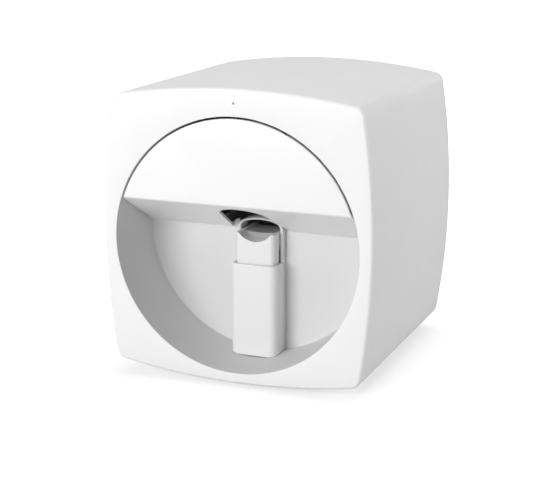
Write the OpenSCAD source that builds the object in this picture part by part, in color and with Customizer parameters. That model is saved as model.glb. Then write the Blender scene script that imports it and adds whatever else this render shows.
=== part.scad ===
// A desktop nail printer: a bowed housing with a round recess in its front, a hinged visor
// over the top of the recess, a sprung finger rest, and a print carriage on two pairs of rods.
// Lengths are millimetres. Each sub-part is drawn in the recess frame: x to the right,
// y back from the front plane, z up from the centre of the round opening.

/* [Body] */
// Width across the bowed sides
body_w = 242; // [238:1:292]
// Height across the bowed top and bottom
body_h = 252; // [248:1:304]
// Depth from the front plane to the back plane
body_d = 234; // [228:1:282]
// Radius of the bow of each side
side_bow_r = 668; // [560:1:900]
// Radius of the bow of the top and bottom
top_bow_r = 617; // [560:1:900]
// Radius of the four rounded corners
corner_r = 9.3; // [8.6:0.1:12]
// Wall of the housing
wall = 3; // [2.4:0.1:3.6]
// Clearance between the belly and the table
belly_gap = 3.5; // [2.5:0.1:5]
// Thickness of the front bezel and of the rear cover
panel_t = 3; // [2.6:0.1:3.6]
// Seam between a panel and the housing
seam_gap = 0.2; // [0.1:0.05:0.4]
// Length of the spigot rim behind each panel
rim_len = 8; // [6:0.5:10]
// Thickness of the spigot rim
rim_t = 2; // [1.5:0.1:2.5]

/* [Recess] */
// Radius of the round opening in the front plane
recess_r = 110; // [100:1:112]
// Radius of the recess wall where it meets the back
recess_back_r = 106.9; // [97:0.1:109]
// Depth of the recess
recess_depth = 63.9; // [60:0.1:68]
// How far the opening's centre lies below the middle of the body
recess_drop = 7; // [5:0.5:8]
// Thickness of the recess wall and its back
bowl_t = 2.5; // [2:0.1:3]
// Length and thickness of the bezel's collar round the opening
collar_len = 9; // [8:0.5:10]
collar_t = 2; // [1.8:0.1:2.2]

/* [Visor] */
// Height of the visor's lower front edge above the opening's centre
chord_z = 37.1; // [34:0.1:40]
// Height of the sloped underside where it reaches the back of the recess
slope_rear_z = 2; // [1:0.1:4]
// Radius of the rounded lower front edge
nose_r = 3.4; // [2:0.1:4]
// Gap between the visor's arc and the opening
visor_gap = 1.8; // [1.7:0.1:2.2]
// Thickness of the front plate and of the sloped plate
visor_t = 3; // [2.8:0.1:3.4]
slope_t = 2.5; // [2:0.1:3]
// Side and rear clearance of the sloped plate in the recess
slope_gap = 0.6; // [0.5:0.1:0.8]
// Height of the hinge pins above the opening's centre
hinge_z = 99; // [97:0.5:101]
// Radius of the hinge pins, and how far each reaches into its bore
hinge_pin_r = 0.75; // [0.7:0.01:0.8]
hinge_grip = 8; // [6:0.5:9]
// Depth of the notch's apex behind the front plane, and of its widest front part
notch_apex_y = 8; // [7:0.5:12]
notch_wide_y = 28; // [24:0.5:34]
// Half width of the notch at its front part and at the rear edge
notch_half = 22; // [21:0.5:25]
notch_rear_half = 27; // [26:0.5:31]
// How far the notch lies to the left of the middle
notch_left = 1.5; // [0:0.1:2]
// Radius and thickness of the catch magnets
magnet_r = 4; // [3:0.1:5]
magnet_t = 2.8; // [2.4:0.1:3]
// Place of the magnets, to the side of and above the opening's centre
magnet_x = 82; // [78:0.5:84]
magnet_z = 52; // [50:0.5:56]

/* [Finger rest] */
// Half width of the fixed sleeve, its front face and its rim height below the centre
sleeve_half = 21.5; // [20.5:0.1:22]
sleeve_y = 40.5; // [39:0.1:42]
sleeve_rim_z = -24.8; // [-26:0.1:-24.6]
// Wall and corner radius of the sleeve
sleeve_wall = 2.6; // [2.2:0.1:2.8]
sleeve_corner = 7; // [5:0.1:8]
// Gap between the post and the sleeve, at the sides and in front
post_side_gap = 1; // [0.8:0.1:1.2]
post_front_gap = 1.5; // [1.2:0.1:1.8]
// Corner radius of the post
post_corner = 4.4; // [4:0.1:7]
// Radius of the finger trough and its lowest line below the centre
trough_r = 19; // [18:0.1:20]
trough_z = -5.1; // [-6:0.1:-4.5]
// Height of the trough's tips and of its underside
trough_tip_z = 2; // [1:0.1:3]
trough_floor_z = -12; // [-12:0.1:-11]
// How far back the trough reaches
trough_end_y = 86; // [82:0.5:88]
// Front of the raised pad and the height of its top
pad_y = 57; // [55:0.5:60]
pad_z = 0.5; // [-1:0.1:1]
// Travel of the post down into the sleeve
cradle_travel = 12; // [8:0.5:12]
// Height of the post's foot below the centre
post_foot_z = -62; // [-64:0.5:-60]
// Front plane, half width and top of the portal arch
portal_y = 57.9; // [57:0.1:59]
portal_half = 21.4; // [21.3:0.1:21.6]
portal_top_z = 13.5; // [13:0.1:13.8]
// Thickness of the portal's legs and of its arch
portal_leg_t = 3.1; // [2.9:0.1:3.2]
portal_arch_t = 2; // [1.6:0.1:2.4]
// Radius of the arch's bow and of its shoulders
arch_bow_r = 47.5; // [44:0.5:56]
arch_shoulder_r = 8.5; // [7:0.1:9]
// How far back the tunnel reaches
tunnel_end_y = 74; // [72:0.5:78]
// Wire radius, coil radius and turns of the spring under the post
spring_wire_r = 0.6; // [0.5:0.05:0.7]
spring_coil_r = 4.2; // [3.9:0.1:4.4]
spring_turns = 9; // [7:1:10]

/* [Print carriage] */
// Radius of the rods that run front to back, and of the rods that run across
y_rail_r = 4; // [3.5:0.1:4.5]
x_rail_r = 3; // [2.5:0.1:3.5]
// Clearance of a bush on its rod
bush_gap = 0.05; // [0.03:0.01:0.08]
// Height of the rods that run front to back
y_rail_z = 54; // [52:0.5:56]
// Depth of the cross rods behind the front plane, and their two heights
x_rail_y = 142; // [140:0.5:144]
x_rail_low_z = 30; // [29:0.5:31]
x_rail_high_z = 78; // [77:0.5:79]
// Half width and front of the carriage tray
carriage_half = 18; // [17:0.5:19]
carriage_y = 70; // [69:0.5:72]
// Width, depth and height of the cartridge above its snout
cartridge_w = 26; // [22:0.5:26]
cartridge_d = 56; // [50:0.5:57]
cartridge_h = 42; // [38:0.5:44]
// Height of the print head's lowest face
nozzle_z = 15.5; // [15:0.1:17]
// Pitch radius and width of the belt pulleys
pulley_r = 6.4; // [6:0.1:7]
pulley_w = 7; // [7:0.1:8]
// Thickness and width of the belts
belt_t = 1.4; // [1:0.1:1.6]
belt_w = 6; // [5:0.1:6]
// Sides of the two motors' square bodies, and their lengths
y_motor_side = 35; // [33:0.5:36]
y_motor_len = 26; // [22:0.5:28]
x_motor_side = 28; // [26:0.5:28]
x_motor_len = 22; // [18:0.5:24]

/* [Back] */
// Side, depth and blade count of the fan
fan_side = 40; // [38:0.5:42]
fan_t = 10; // [9:0.5:11]
fan_blades = 7; // [5:1:9]
// Height of the fan's axis above the opening's centre
fan_z = 64; // [60:1:68]
// Radius of the round socket in the power inlet, and of its centre pin
socket_r = 2.8; // [2.7:0.05:3]
socket_pin_r = 1; // [0.8:0.05:1.1]
// Tilt of the rocker to either side
rocker_tilt = 8; // [6:1:10]

/* [Hidden] */
$fn = 96;

// Clearances that several pieces share
fit_gap = 0.3;
press_gap = 0.02;
run_gap = 0.05;
through = 1;

// Heights in the recess frame
recess_z = belly_gap + body_h / 2 - recess_drop;
belly_z = recess_drop - body_h / 2;
table_z = -recess_z;

// Body outline: bows, and the corner circle that touches a side bow and a top bow
side_cx = body_w / 2 - side_bow_r;
top_cz = body_h / 2 - top_bow_r;
bow_steps = 10;
corner_steps = 8;
bow_span = norm([side_cx, top_cz]);
bow_along = ((side_bow_r - corner_r) ^ 2 - (top_bow_r - corner_r) ^ 2 + bow_span ^ 2) / (2 * bow_span);
bow_across = sqrt((side_bow_r - corner_r) ^ 2 - bow_along ^ 2);
corner_c = [side_cx - (bow_along * side_cx + bow_across * top_cz) / bow_span,
            (bow_along * top_cz - bow_across * side_cx) / bow_span];
side_angle = atan2(corner_c.y, corner_c.x - side_cx);
top_angle = atan2(corner_c.y - top_cz, corner_c.x);

// Sloped underside of the visor: the line from the rear edge that touches the rounded nose
slope_run = recess_depth - nose_r;
slope_drop = chord_z - slope_rear_z;
slope_fall = (slope_drop * slope_run - nose_r * sqrt(slope_drop ^ 2 + slope_run ^ 2 - nose_r ^ 2))
    / (slope_run ^ 2 - nose_r ^ 2);
slope_angle = atan(slope_fall);
slope_rise = slope_t / cos(slope_angle);
visor_r = recess_r - visor_gap;
edge = 0.6;
hinge_y = visor_t / 2;
hinge_edge_x = sqrt(visor_r ^ 2 - hinge_z ^ 2);
hinge_wall_x = sqrt(recess_r ^ 2 - hinge_z ^ 2);

// Screws
screw_r = 1.5;
head_r = 2.8;
head_t = 2;
ear_r = 5;
ear_post_r = 4.5;
ear_post_gap = 0.5;
ear_ring_r = recess_r + collar_t + ear_post_gap + ear_post_r;
ear_angles = [40, 140, 220, 320];

// Recess bowl
flange_t = 3;
flange_over = 1.4;
flange_r = recess_r + collar_t + flange_over;
bowl_cut = 4;
lug_in = 6;

// Feet and the floor tray
foot_screw_len = 12;
pillar_r = 5;
pillar_screw = 3;
foot_x = 75;
foot_r = 9;
foot_h = 5;
foot_ys = [50, 190];
tray_t = 3;
tray_half = body_w / 2 - 17;
tray_clear = 3.17;
tray_z = round(10 * (belly_z + top_bow_r - sqrt(top_bow_r ^ 2 - tray_half ^ 2) + wall + tray_clear)) / 10;
tray_top = tray_z + tray_t;
tray_ys = [70, body_d - 30];

// Side frames
frame_x = body_w / 2 - 19;
frame_t = 3;
frame_ys = [68, body_d - 30];
frame_screw_ys = [tray_ys[0] + 10, frame_ys[1] - 12];
frame_arm_y = 30;
frame_arm_z = 70;
frame_top = 92;
bridge_ys = [34, 64];
bridge_t = 2.5;

// Finger rest
sleeve_back_y = portal_y - fit_gap;
sleeve_in = sleeve_half - sleeve_wall;
post_half = sleeve_in - post_side_gap;
post_y = sleeve_y + sleeve_wall + post_front_gap;
post_back_y = portal_y - 1;
guide_h = 8;
stop_t = 3;
spring_floor_z = -100;
spring_y = (sleeve_y + sleeve_wall + portal_y) / 2;
seat_t = 2;
spring_base_z = spring_floor_z + seat_t;
web_top_z = trough_floor_z - cradle_travel - 1;
web_t = 2;
tunnel_foot_z = -28;
stand_ys = [69, 77];

// Cross-slide blocks, bushes and rods
rail_x = frame_x - 12;
block_half = 10;
block_ys = [x_rail_y - 14, x_rail_y + 14];
block_zs = [22, 94];
y_bush_r = y_rail_r + 1.6;
x_bush_r = x_rail_r + 1.6;
y_bush_len = 10;
x_bush_len = 12;
block_in = rail_x - block_half;

// Front-to-back belt, on the right
y_belt_z = 0;
y_belt_ys = [84, frame_ys[1] - 20];
belt_out = pulley_r + run_gap * 4 + belt_t;
shaft_r = 2.5;
idler_pin_r = 2;

// Cross belt, behind the blocks
x_belt_x = block_in - 12;
x_belt_z = y_rail_z;
x_belt_y = x_rail_y + 16;
motor_plate_y = x_belt_y + pulley_w + 0.5;
motor_plate_t = 2.5;

// Carriage
back_plate_y = carriage_y + cartridge_d + 4;
back_plate_t = 5;
snout_h = 9;
snout_y = carriage_y + 3;
snout_d = 14;
tray_floor_z = nozzle_z + snout_h - 3;
latch_y = carriage_y - 3;
latch_z = tray_floor_z + 5.5;
latch_h = 30;
latch_w = 12;
latch_t = 2.2;
latch_ear = 3.5;
ear_in = cartridge_w / 2 + fit_gap;
ear_out = cartridge_w / 2 + 3;
strip_z = 88.5;

// Rear cover and what it carries
cover_y = body_d - panel_t;
pocket_x = [-86, -22];
pocket_z = [-92, -62];
pocket_y = body_d - 11;
socket_x = -70;
switch_x = -42;
port_z = -77;
rocker_r = 9;
fan_y = cover_y - 5 - fan_t;

function wall_r(y) = recess_r - (recess_r - recess_back_r) * y / recess_depth;
function slope_z(y) = slope_rear_z + slope_fall * (recess_depth - y);
function arc(c, r, from, to, n) =
    [for (i = [0:n]) c + r * [cos(from + (to - from) * i / n), sin(from + (to - from) * i / n)]];

// Quarter of the body outline, set in by d
function quarter(d) = concat(
    arc([side_cx, 0], side_bow_r - d, 0, side_angle, bow_steps),
    [for (p = arc(corner_c, corner_r - d, side_angle, top_angle, corner_steps)) p],
    arc([0, top_cz], top_bow_r - d, top_angle, 90, bow_steps));

function without_ends(points) = [for (i = [1:len(points) - 2]) points[i]];

// Drops points that repeat the one before
function distinct(points) =
    [for (i = [0:len(points) - 1]) if (i == 0 || norm(points[i] - points[i - 1]) > 0.001) points[i]];

function outline_points(d) =
    let (q = distinct(quarter(d)), n = len(q))
    concat(q,
           [for (i = [n - 2:-1:0]) [-q[i].x, q[i].y]],
           [for (i = [1:n - 1]) [-q[i].x, -q[i].y]],
           [for (i = [n - 2:-1:1]) [q[i].x, -q[i].y]]);

// Arch with a bowed top, rounded shoulders and straight legs down to base
function arch_points(half, top, bow, shoulder, base) =
    let (rise = sqrt((bow - shoulder) ^ 2 - (half - shoulder) ^ 2),
         lean = atan2(rise, half - shoulder),
         z = top - bow + rise)
    distinct(concat([[half, base]],
                    arc([half - shoulder, z], shoulder, 0, lean, 8),
                    arc([0, top - bow], bow, lean, 180 - lean, 16),
                    arc([shoulder - half, z], shoulder, 180 - lean, 180, 8),
                    [[-half, base]]));

module at_recess() translate([0, -body_d / 2, recess_z]) children();

module box(lo, hi) translate(lo) cube(hi - lo);

module both_sides() {
    children();
    mirror([1, 0, 0]) children();
}

// Extrudes an (x, z) shape back from y
module along_y(y, len) translate([0, y + len, 0]) rotate([90, 0, 0]) linear_extrude(len) children();

// Extrudes a (y, z) shape to the right from x
module along_x(x, len) translate([x, 0, 0]) rotate([90, 0, 90]) linear_extrude(len) children();

module rod_y(r, y, len, x = 0, z = 0) translate([x, y, z]) rotate([-90, 0, 0]) cylinder(r = r, h = len);

module rod_x(r, x, len, y, z) translate([x, y, z]) rotate([0, 90, 0]) cylinder(r = r, h = len);

module body_outline(d) translate([0, recess_drop]) polygon(outline_points(d));

module body_ring(outer, inner) difference() {
    body_outline(outer);
    body_outline(inner);
}

// The conical space of the recess between two depths
module recess_space(grow, y0, y1)
    translate([0, y0, 0]) rotate([-90, 0, 0])
        cylinder(h = y1 - y0, r1 = wall_r(y0) + grow, r2 = wall_r(y1) + grow);

module at_ears() for (a = ear_angles) rotate([0, -a, 0]) translate([ear_ring_r, 0, 0]) children();

// Outline in (x, y) with two rounded front corners and a square back
module front_rounded(half, y0, y1, r)
    polygon(concat([[half, y1]], arc([half - r, y0 + r], r, 0, -90, 10),
                   arc([r - half, y0 + r], r, -90, -180, 10), [[-half, y1]]));

// Stadium outline between two ends on the first axis
module stadium(a, b, r) polygon(concat(arc([b, 0], r, -90, 90, 24), arc([a, 0], r, 90, 270, 24)));

// Body

module foot_places() for (y = foot_ys) both_sides() translate([foot_x, y, 0]) children();

module corner_blocks(y, len)
    along_y(y, len) intersection() {
        body_outline(wall / 2);
        for (sx = [-1, 1], sz = [-1, 1])
            translate([sx * (body_w / 2 - 14), recess_drop + sz * (body_h / 2 - 14)])
                square(24, center = true);
    }

module at_corners() for (sx = [-1, 1], sz = [-1, 1])
    translate([sx * (body_w / 2 - 19), 0, recess_drop + sz * (body_h / 2 - 19)]) children();

module at_frame_screws() for (y = frame_screw_ys) both_sides() translate([frame_x - 6, y, 0]) children();

module housing_shell() color("gainsboro") at_recess() difference() {
    union() {
        along_y(panel_t + seam_gap, body_d - 2 * (panel_t + seam_gap)) body_ring(0, wall);
        corner_blocks(cover_y - seam_gap - 24, 24 - rim_len);
        intersection() {
            foot_places() translate([0, 0, table_z + foot_h])
                cylinder(r = foot_r + 1.5, h = tray_z - table_z - foot_h);
            along_y(panel_t + seam_gap + rim_len + 1, body_d) translate([-body_w / 2, table_z])
                square([body_w, 60]);
        }
        intersection() {
            at_frame_screws() translate([0, 0, belly_z]) cylinder(r = pillar_r, h = tray_z - belly_z);
            along_y(0, body_d) body_outline(wall / 2);
        }
    }
    foot_places() translate([0, 0, table_z]) cylinder(r = screw_r + 0.1, h = foot_screw_len + 4);
    at_frame_screws() translate([0, 0, tray_z - pillar_screw - 0.5]) cylinder(r = screw_r + 0.1, h = pillar_screw + 1);
    at_corners() rod_y(screw_r + 0.1, cover_y - 20, 30);
}

module front_bezel() color("white") at_recess() difference() {
    union() {
        along_y(0, panel_t) body_outline(0);
        along_y(panel_t, rim_len) body_ring(wall + fit_gap, wall + fit_gap + rim_t);
        rod_y(recess_r + collar_t, 0, collar_len);
        at_ears() rod_y(ear_post_r, 0, collar_len);
    }
    recess_space(0, 0, collar_len + through);
    translate([0, -through, 0]) rotate([-90, 0, 0])
        cylinder(h = through + edge, r1 = recess_r + edge + through, r2 = recess_r);
    rod_y(lens_r + run_gap, -through, panel_t + 2 * through, 0, lens_z);
    both_sides() rod_x(hinge_pin_r + press_gap, hinge_wall_x - 2, hinge_grip + 2, hinge_y, hinge_z);
    at_ears() rod_y(screw_r + 0.1, panel_t, collar_len);
}

module screw_y(y, len) {
    rod_y(screw_r, y - len, len);
    rod_y(head_r, y, head_t);
}

module bowl_screws() color("silver") at_recess()
    at_ears() screw_y(collar_len + flange_t, collar_len + flange_t - panel_t - 1);

lens_r = 0.95;
lens_z = 121;

module indicator_lens() color("dimgray") at_recess() {
    rod_y(lens_r, 0.05, panel_t, 0, lens_z);
    rod_y(2.5, panel_t, 1.2, 0, lens_z);
}

// The part of the recess wall that stands above the visor's slope is left out
module above_slope(y, lift)
    along_x(-body_w / 2, body_w)
        polygon([[y, slope_z(y) + lift], [recess_depth + 10, slope_z(recess_depth + 10) + lift],
                 [recess_depth + 10, body_h / 2], [y, body_h / 2]]);

module recess_bowl() color("lightgray") at_recess() difference() {
    union() {
        difference() {
            union() {
                difference() {
                    recess_space(bowl_t, collar_len, recess_depth + bowl_t);
                    above_slope(collar_len + flange_t, bowl_cut);
                }
                rod_y(flange_r, collar_len, flange_t);
                at_ears() rod_y(ear_r, collar_len, flange_t);
            }
            recess_space(0, collar_len - through, recess_depth);
            rod_y(wall_r(collar_len), collar_len - through, flange_t + through);
        }
        // shoulders of the back wall beside the tunnel
        along_y(recess_depth, bowl_t) both_sides_2d()
            polygon([[portal_half, slope_rear_z], [portal_half, 10], [26, 8.5], [30, 4.5], [30, slope_rear_z]]);
        both_sides() box([magnet_x - lug_in, collar_len, magnet_z - lug_in],
                         [sqrt(wall_r(0) ^ 2 - magnet_z ^ 2) + 2, collar_len + flange_t, magnet_z + lug_in]);
    }
    along_y(recess_depth - through, bowl_t + 2 * through)
        translate([-portal_half - fit_gap, tunnel_foot_z - fit_gap])
            square([2 * (portal_half + fit_gap), 60]);
    at_ears() rod_y(screw_r + 0.1, collar_len - through, flange_t + 2 * through);
}

module both_sides_2d() {
    children();
    mirror([1, 0]) children();
}

vent_pitch = 7;
vent_w = 3;

module rear_cover() color("gainsboro") at_recess() difference() {
    union() {
        along_y(cover_y, panel_t) body_outline(0);
        along_y(cover_y - rim_len + seam_gap, rim_len)
            body_ring(wall + fit_gap, wall + fit_gap + rim_t);
        box([pocket_x[0] - 2.5, pocket_y - 2.5, pocket_z[0] - 2.5],
            [pocket_x[1] + 2.5, cover_y + 1, pocket_z[1] + 2.5]);
        for (sx = [-1, 1], sz = [-1, 1])
            rod_y(2.6, fan_y + fan_t, cover_y - fan_y - fan_t + 1,
                  sx * (fan_side / 2 - 4), fan_z + sz * (fan_side / 2 - 4));
    }
    box([pocket_x[0], pocket_y, pocket_z[0]], [pocket_x[1], body_d + 1, pocket_z[1]]);
    rod_y(socket_r + 2.2 + fit_gap, pocket_y - 4, 6, socket_x, port_z);
    box([switch_x - 10.5 - fit_gap, pocket_y - 4, port_z - 6.5 - fit_gap],
        [switch_x + 10.5 + fit_gap, pocket_y + 2, port_z + 6.5 + fit_gap]);
    // fan grille and lower intake
    for (i = [-2:2])
        box([-fan_side / 2 + 6 + abs(i) * 2.5, cover_y - through, fan_z + i * vent_pitch - vent_w / 2],
            [fan_side / 2 - 6 - abs(i) * 2.5, body_d + through, fan_z + i * vent_pitch + vent_w / 2]);
    for (i = [0:7])
        box([10 + i * vent_pitch, cover_y - through, -92], [10 + i * vent_pitch + vent_w, body_d + through, -62]);
    at_corners() {
        rod_y(screw_r + 0.1, cover_y - rim_len - 1, rim_len + panel_t + 2);
        rod_y(head_r + 0.2, body_d - head_t, head_t + 1);
    }
}

module cover_screws() color("silver") at_recess() at_corners() {
    rod_y(screw_r, body_d - head_t - 18, 18);
    rod_y(head_r, body_d - head_t, head_t - 0.2);
}

// One foot: a rubber disc with a sunk screw hole
module foot(x, y) color("dimgray") at_recess() translate([x, y, table_z]) difference() {
    cylinder(r1 = foot_r - 1, r2 = foot_r, h = foot_h);
    translate([0, 0, -through]) cylinder(r = head_r + 0.6, h = through + 3);
    cylinder(r = screw_r + 0.1, h = foot_h + through);
}

module foot_screws() color("silver") at_recess() foot_places() translate([0, 0, table_z + 3]) {
    translate([0, 0, -head_t]) cylinder(r = head_r, h = head_t);
    cylinder(r = screw_r, h = foot_screw_len);
}

// Visor

module nose() polygon(concat(
    arc([nose_r, chord_z], nose_r, 180, 270 - slope_angle, 6),
    [[recess_depth - slope_gap, slope_z(recess_depth - slope_gap)],
     [recess_depth - slope_gap, slope_z(recess_depth - slope_gap) + slope_rise],
     [visor_t, slope_z(visor_t) + slope_rise],
     [visor_t, chord_z + 10],
     [0, chord_z + 10]]));

module notch() translate([-notch_left, 0, 0]) linear_extrude(chord_z - 1)
    polygon(concat(arc_oval(), [[-notch_rear_half, recess_depth], [notch_rear_half, recess_depth]]));

function arc_oval() = [for (a = [0:9:180])
    [notch_half * cos(a), notch_wide_y - (notch_wide_y - notch_apex_y) * sin(a)]];

module visor() color("white") at_recess() difference() {
    union() {
        intersection() {
            union() {
                translate([0, 0, 0]) rotate([-90, 0, 0]) cylinder(h = edge, r1 = visor_r - edge, r2 = visor_r);
                rod_y(visor_r, edge, visor_t - edge);
            }
            box([-body_w / 2, 0, chord_z], [body_w / 2, visor_t, body_h / 2]);
        }
        intersection() {
            along_x(-body_w / 2, body_w) nose();
            recess_space(-slope_gap - 0.5, 0, recess_depth);
        }
        // gusset ribs between the plate and the slope
        both_sides() along_x(44, 2)
            polygon([[visor_t - 0.5, slope_z(0)], [44, slope_z(44) + 1], [visor_t - 0.5, 78]]);
        both_sides() rod_y(magnet_r + 1.4, visor_t - 0.5, 1.5, magnet_x, magnet_z);
    }
    notch();
    both_sides() rod_x(hinge_pin_r + run_gap, hinge_edge_x - hinge_grip, hinge_grip + 5, hinge_y, hinge_z);
    both_sides() rod_y(magnet_r + press_gap, visor_t, magnet_t, magnet_x, magnet_z);
}

module visor_hinge_pins() color("silver") at_recess() both_sides()
    rod_x(hinge_pin_r, hinge_edge_x - hinge_grip + 1,
          hinge_wall_x - hinge_edge_x + 2 * hinge_grip - 2, hinge_y, hinge_z);

module visor_magnets() color("silver") at_recess() both_sides()
    rod_y(magnet_r, visor_t, magnet_t, magnet_x, magnet_z);

module catch_magnets() color("silver") at_recess() both_sides()
    rod_y(magnet_r, collar_len - magnet_t, magnet_t, magnet_x, magnet_z);

// Finger rest

module finger_sleeve() color("whitesmoke") at_recess() intersection() {
    difference() {
        translate([0, 0, -recess_r]) linear_extrude(recess_r + sleeve_rim_z)
            front_rounded(sleeve_half, sleeve_y, sleeve_back_y, sleeve_corner);
        difference() {
            translate([0, 0, spring_floor_z]) linear_extrude(recess_r)
                front_rounded(sleeve_in, sleeve_y + sleeve_wall, sleeve_back_y + through,
                              sleeve_corner - sleeve_wall);
            // step inside that stops the post's foot at the top of its travel
            translate([0, 0, post_foot_z + guide_h + fit_gap]) linear_extrude(stop_t) difference() {
                front_rounded(sleeve_half - 1, sleeve_y + 1, sleeve_back_y + 2, sleeve_corner - 1);
                front_rounded(post_half + fit_gap, post_y - fit_gap, sleeve_back_y + 3, post_corner + fit_gap);
            }
        }
    }
    recess_space(-0.2, 0, recess_depth);
}

module finger_cradle() color("whitesmoke") at_recess() difference() {
    union() {
        translate([0, 0, post_foot_z]) linear_extrude(trough_tip_z - post_foot_z)
            front_rounded(post_half, post_y, post_back_y, post_corner);
        translate([0, 0, post_foot_z]) linear_extrude(guide_h)
            front_rounded(sleeve_in - fit_gap, sleeve_y + sleeve_wall + fit_gap, portal_y - fit_gap,
                          sleeve_corner - sleeve_wall - fit_gap);
        box([-post_half, post_back_y - 1, trough_floor_z], [post_half, trough_end_y, trough_tip_z]);
        // peg that centres the spring
        translate([0, spring_y, post_foot_z - 5])
            cylinder(r = spring_coil_r - spring_wire_r - fit_gap, h = 6);
    }
    rod_y(trough_r, 0, recess_depth * 2, 0, trough_z + trough_r);
}

module cradle_pad() color("gray") at_recess() intersection() {
    rod_y(trough_r - run_gap, pad_y, trough_end_y - pad_y - 2, 0, trough_z + trough_r);
    difference() {
        box([-trough_r, pad_y, trough_z - 1], [trough_r, trough_end_y, pad_z + 0.6]);
        rod_y(90, 0, recess_depth * 2, 0, pad_z + 90);
    }
}

// Compression spring: closed end turns and an open middle, as one unbroken tube
spring_rings = 8;
spring_sides = 6;
spring_h = post_foot_z - spring_base_z;
end_pitch = 2 * spring_wire_r + 0.6;
mid_pitch = (spring_h - 2 * spring_wire_r - 2 * end_pitch) / (spring_turns - 2);

function spring_lift(t) = t < 1 ? end_pitch * t
    : t > spring_turns - 1 ? end_pitch + mid_pitch * (spring_turns - 2) + end_pitch * (t - spring_turns + 1)
    : end_pitch + mid_pitch * (t - 1);

spring_points = [for (i = [0:spring_turns * spring_rings]) let (t = i / spring_rings)
    [spring_coil_r * cos(360 * t), spring_coil_r * sin(360 * t), spring_wire_r + spring_lift(t)]];

function tube_gap(points, r, skip) = min([for (i = [0:len(points) - 1], j = [i + skip:len(points) - 1])
    if (j < len(points)) norm(points[j] - points[i]) - 2 * r]);

echo(spring_gap = tube_gap(spring_points, spring_wire_r, spring_rings / 2));

function ring_at(points, i, r, sides) =
    let (a = points[max(i - 1, 0)], b = points[min(i + 1, len(points) - 1)],
         ahead = (b - a) / norm(b - a),
         out = cross(ahead, [0, 0, 1]) / norm(cross(ahead, [0, 0, 1])),
         up = cross(out, ahead))
    [for (k = [0:sides - 1]) points[i] + r * (cos(360 * k / sides) * out + sin(360 * k / sides) * up)];

module tube(points, r, sides) {
    n = len(points);
    rings = [for (i = [0:n - 1]) each ring_at(points, i, r, sides)];
    walls = [for (i = [0:n - 2], k = [0:sides - 1])
        each [[i * sides + k, i * sides + (k + 1) % sides, (i + 1) * sides + (k + 1) % sides],
              [i * sides + k, (i + 1) * sides + (k + 1) % sides, (i + 1) * sides + k]]];
    start_cap = [for (k = [1:sides - 2]) [0, k + 1, k]];
    last = (n - 1) * sides;
    end_cap = [for (k = [1:sides - 2]) [last, last + k, last + k + 1]];
    polyhedron(rings, concat(walls, start_cap, end_cap));
}

module cradle_spring() color("silver") at_recess()
    translate([0, spring_y, spring_base_z]) tube(spring_points, spring_wire_r, spring_sides);

module spring_seat() color("gray") at_recess() translate([0, spring_y, spring_floor_z]) {
    cylinder(r = spring_coil_r + spring_wire_r + 0.4, h = seat_t);
    cylinder(r = spring_coil_r - spring_wire_r - fit_gap, h = seat_t + 5);
}

module arch_shape(base) polygon(arch_points(portal_half, portal_top_z, arch_bow_r, arch_shoulder_r, base));

module arch_hole(base) polygon(arch_points(portal_half - portal_leg_t, portal_top_z - portal_arch_t,
                                           arch_bow_r - portal_arch_t, arch_shoulder_r - 2.5, base));

module finger_tunnel() color("white") at_recess() {
    intersection() {
        along_y(portal_y, recess_depth - portal_y) difference() {
            arch_shape(-recess_r);
            arch_hole(-recess_r - through);
        }
        recess_space(-0.2, 0, recess_depth);
    }
    intersection() {
        along_y(portal_y, web_t) translate([-portal_half + 1, -recess_r])
            square([2 * portal_half - 2, recess_r + web_top_z]);
        recess_space(-0.2, 0, recess_depth);
    }
    along_y(recess_depth - 1, tunnel_end_y - recess_depth + 1) difference() {
        arch_shape(tunnel_foot_z);
        arch_hole(tunnel_foot_z - through);
    }
    both_sides() box([portal_half - 1, stand_ys[0], tunnel_foot_z], [portal_half + 8, tunnel_end_y, tunnel_foot_z + 2]);
}

module tunnel_stand() color("lightgray") at_recess() {
    both_sides() box([portal_half + 1, tray_ys[0], tray_top], [portal_half + 8, stand_ys[1], tunnel_foot_z]);
    box([-portal_half - 8, tray_ys[0], tray_top], [portal_half + 8, stand_ys[1], tray_top + 3]);
}

// Chassis

module base_tray() color("silver") at_recess() difference() {
    union() {
        box([-tray_half, tray_ys[0], tray_z], [tray_half, tray_ys[1], tray_top]);
        for (x = [board_x[0] + 5, board_x[1] - 5], y = [board_y[0] + 5, board_y[1] - 5])
            translate([x, y, tray_top]) cylinder(r = 3, h = board_z - tray_top);
    }
    at_frame_screws() translate([0, 0, tray_z - through]) cylinder(r = screw_r + 0.1, h = tray_t + 2 * through);
}

// Bent side plate with tabs that hold the front-to-back rod
module side_plate() difference() {
    union() {
        box([frame_x, frame_ys[0], tray_top], [frame_x + frame_t, frame_ys[1], frame_top]);
        box([frame_x, frame_arm_y, frame_arm_z], [frame_x + frame_t, frame_ys[0] + 1, frame_top]);
        box([frame_x - 12, frame_ys[0], tray_top], [frame_x + 1, frame_ys[1], tray_top + frame_t]);
        for (y = [frame_ys[0], frame_ys[1] - frame_t])
            box([rail_x - 7, y, y_rail_z - 12], [frame_x + 1, y + frame_t, y_rail_z + 12]);
    }
    for (y = [frame_ys[0], frame_ys[1] - frame_t])
        rod_y(y_rail_r + press_gap, y - through, frame_t + 2 * through, rail_x, y_rail_z);
    for (y = frame_screw_ys)
        translate([frame_x - 6, y, tray_top - through]) cylinder(r = screw_r + 0.1, h = frame_t + 2 * through);
}

module side_frame_left() color("darkgray") at_recess() mirror([1, 0, 0]) side_plate();

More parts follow.
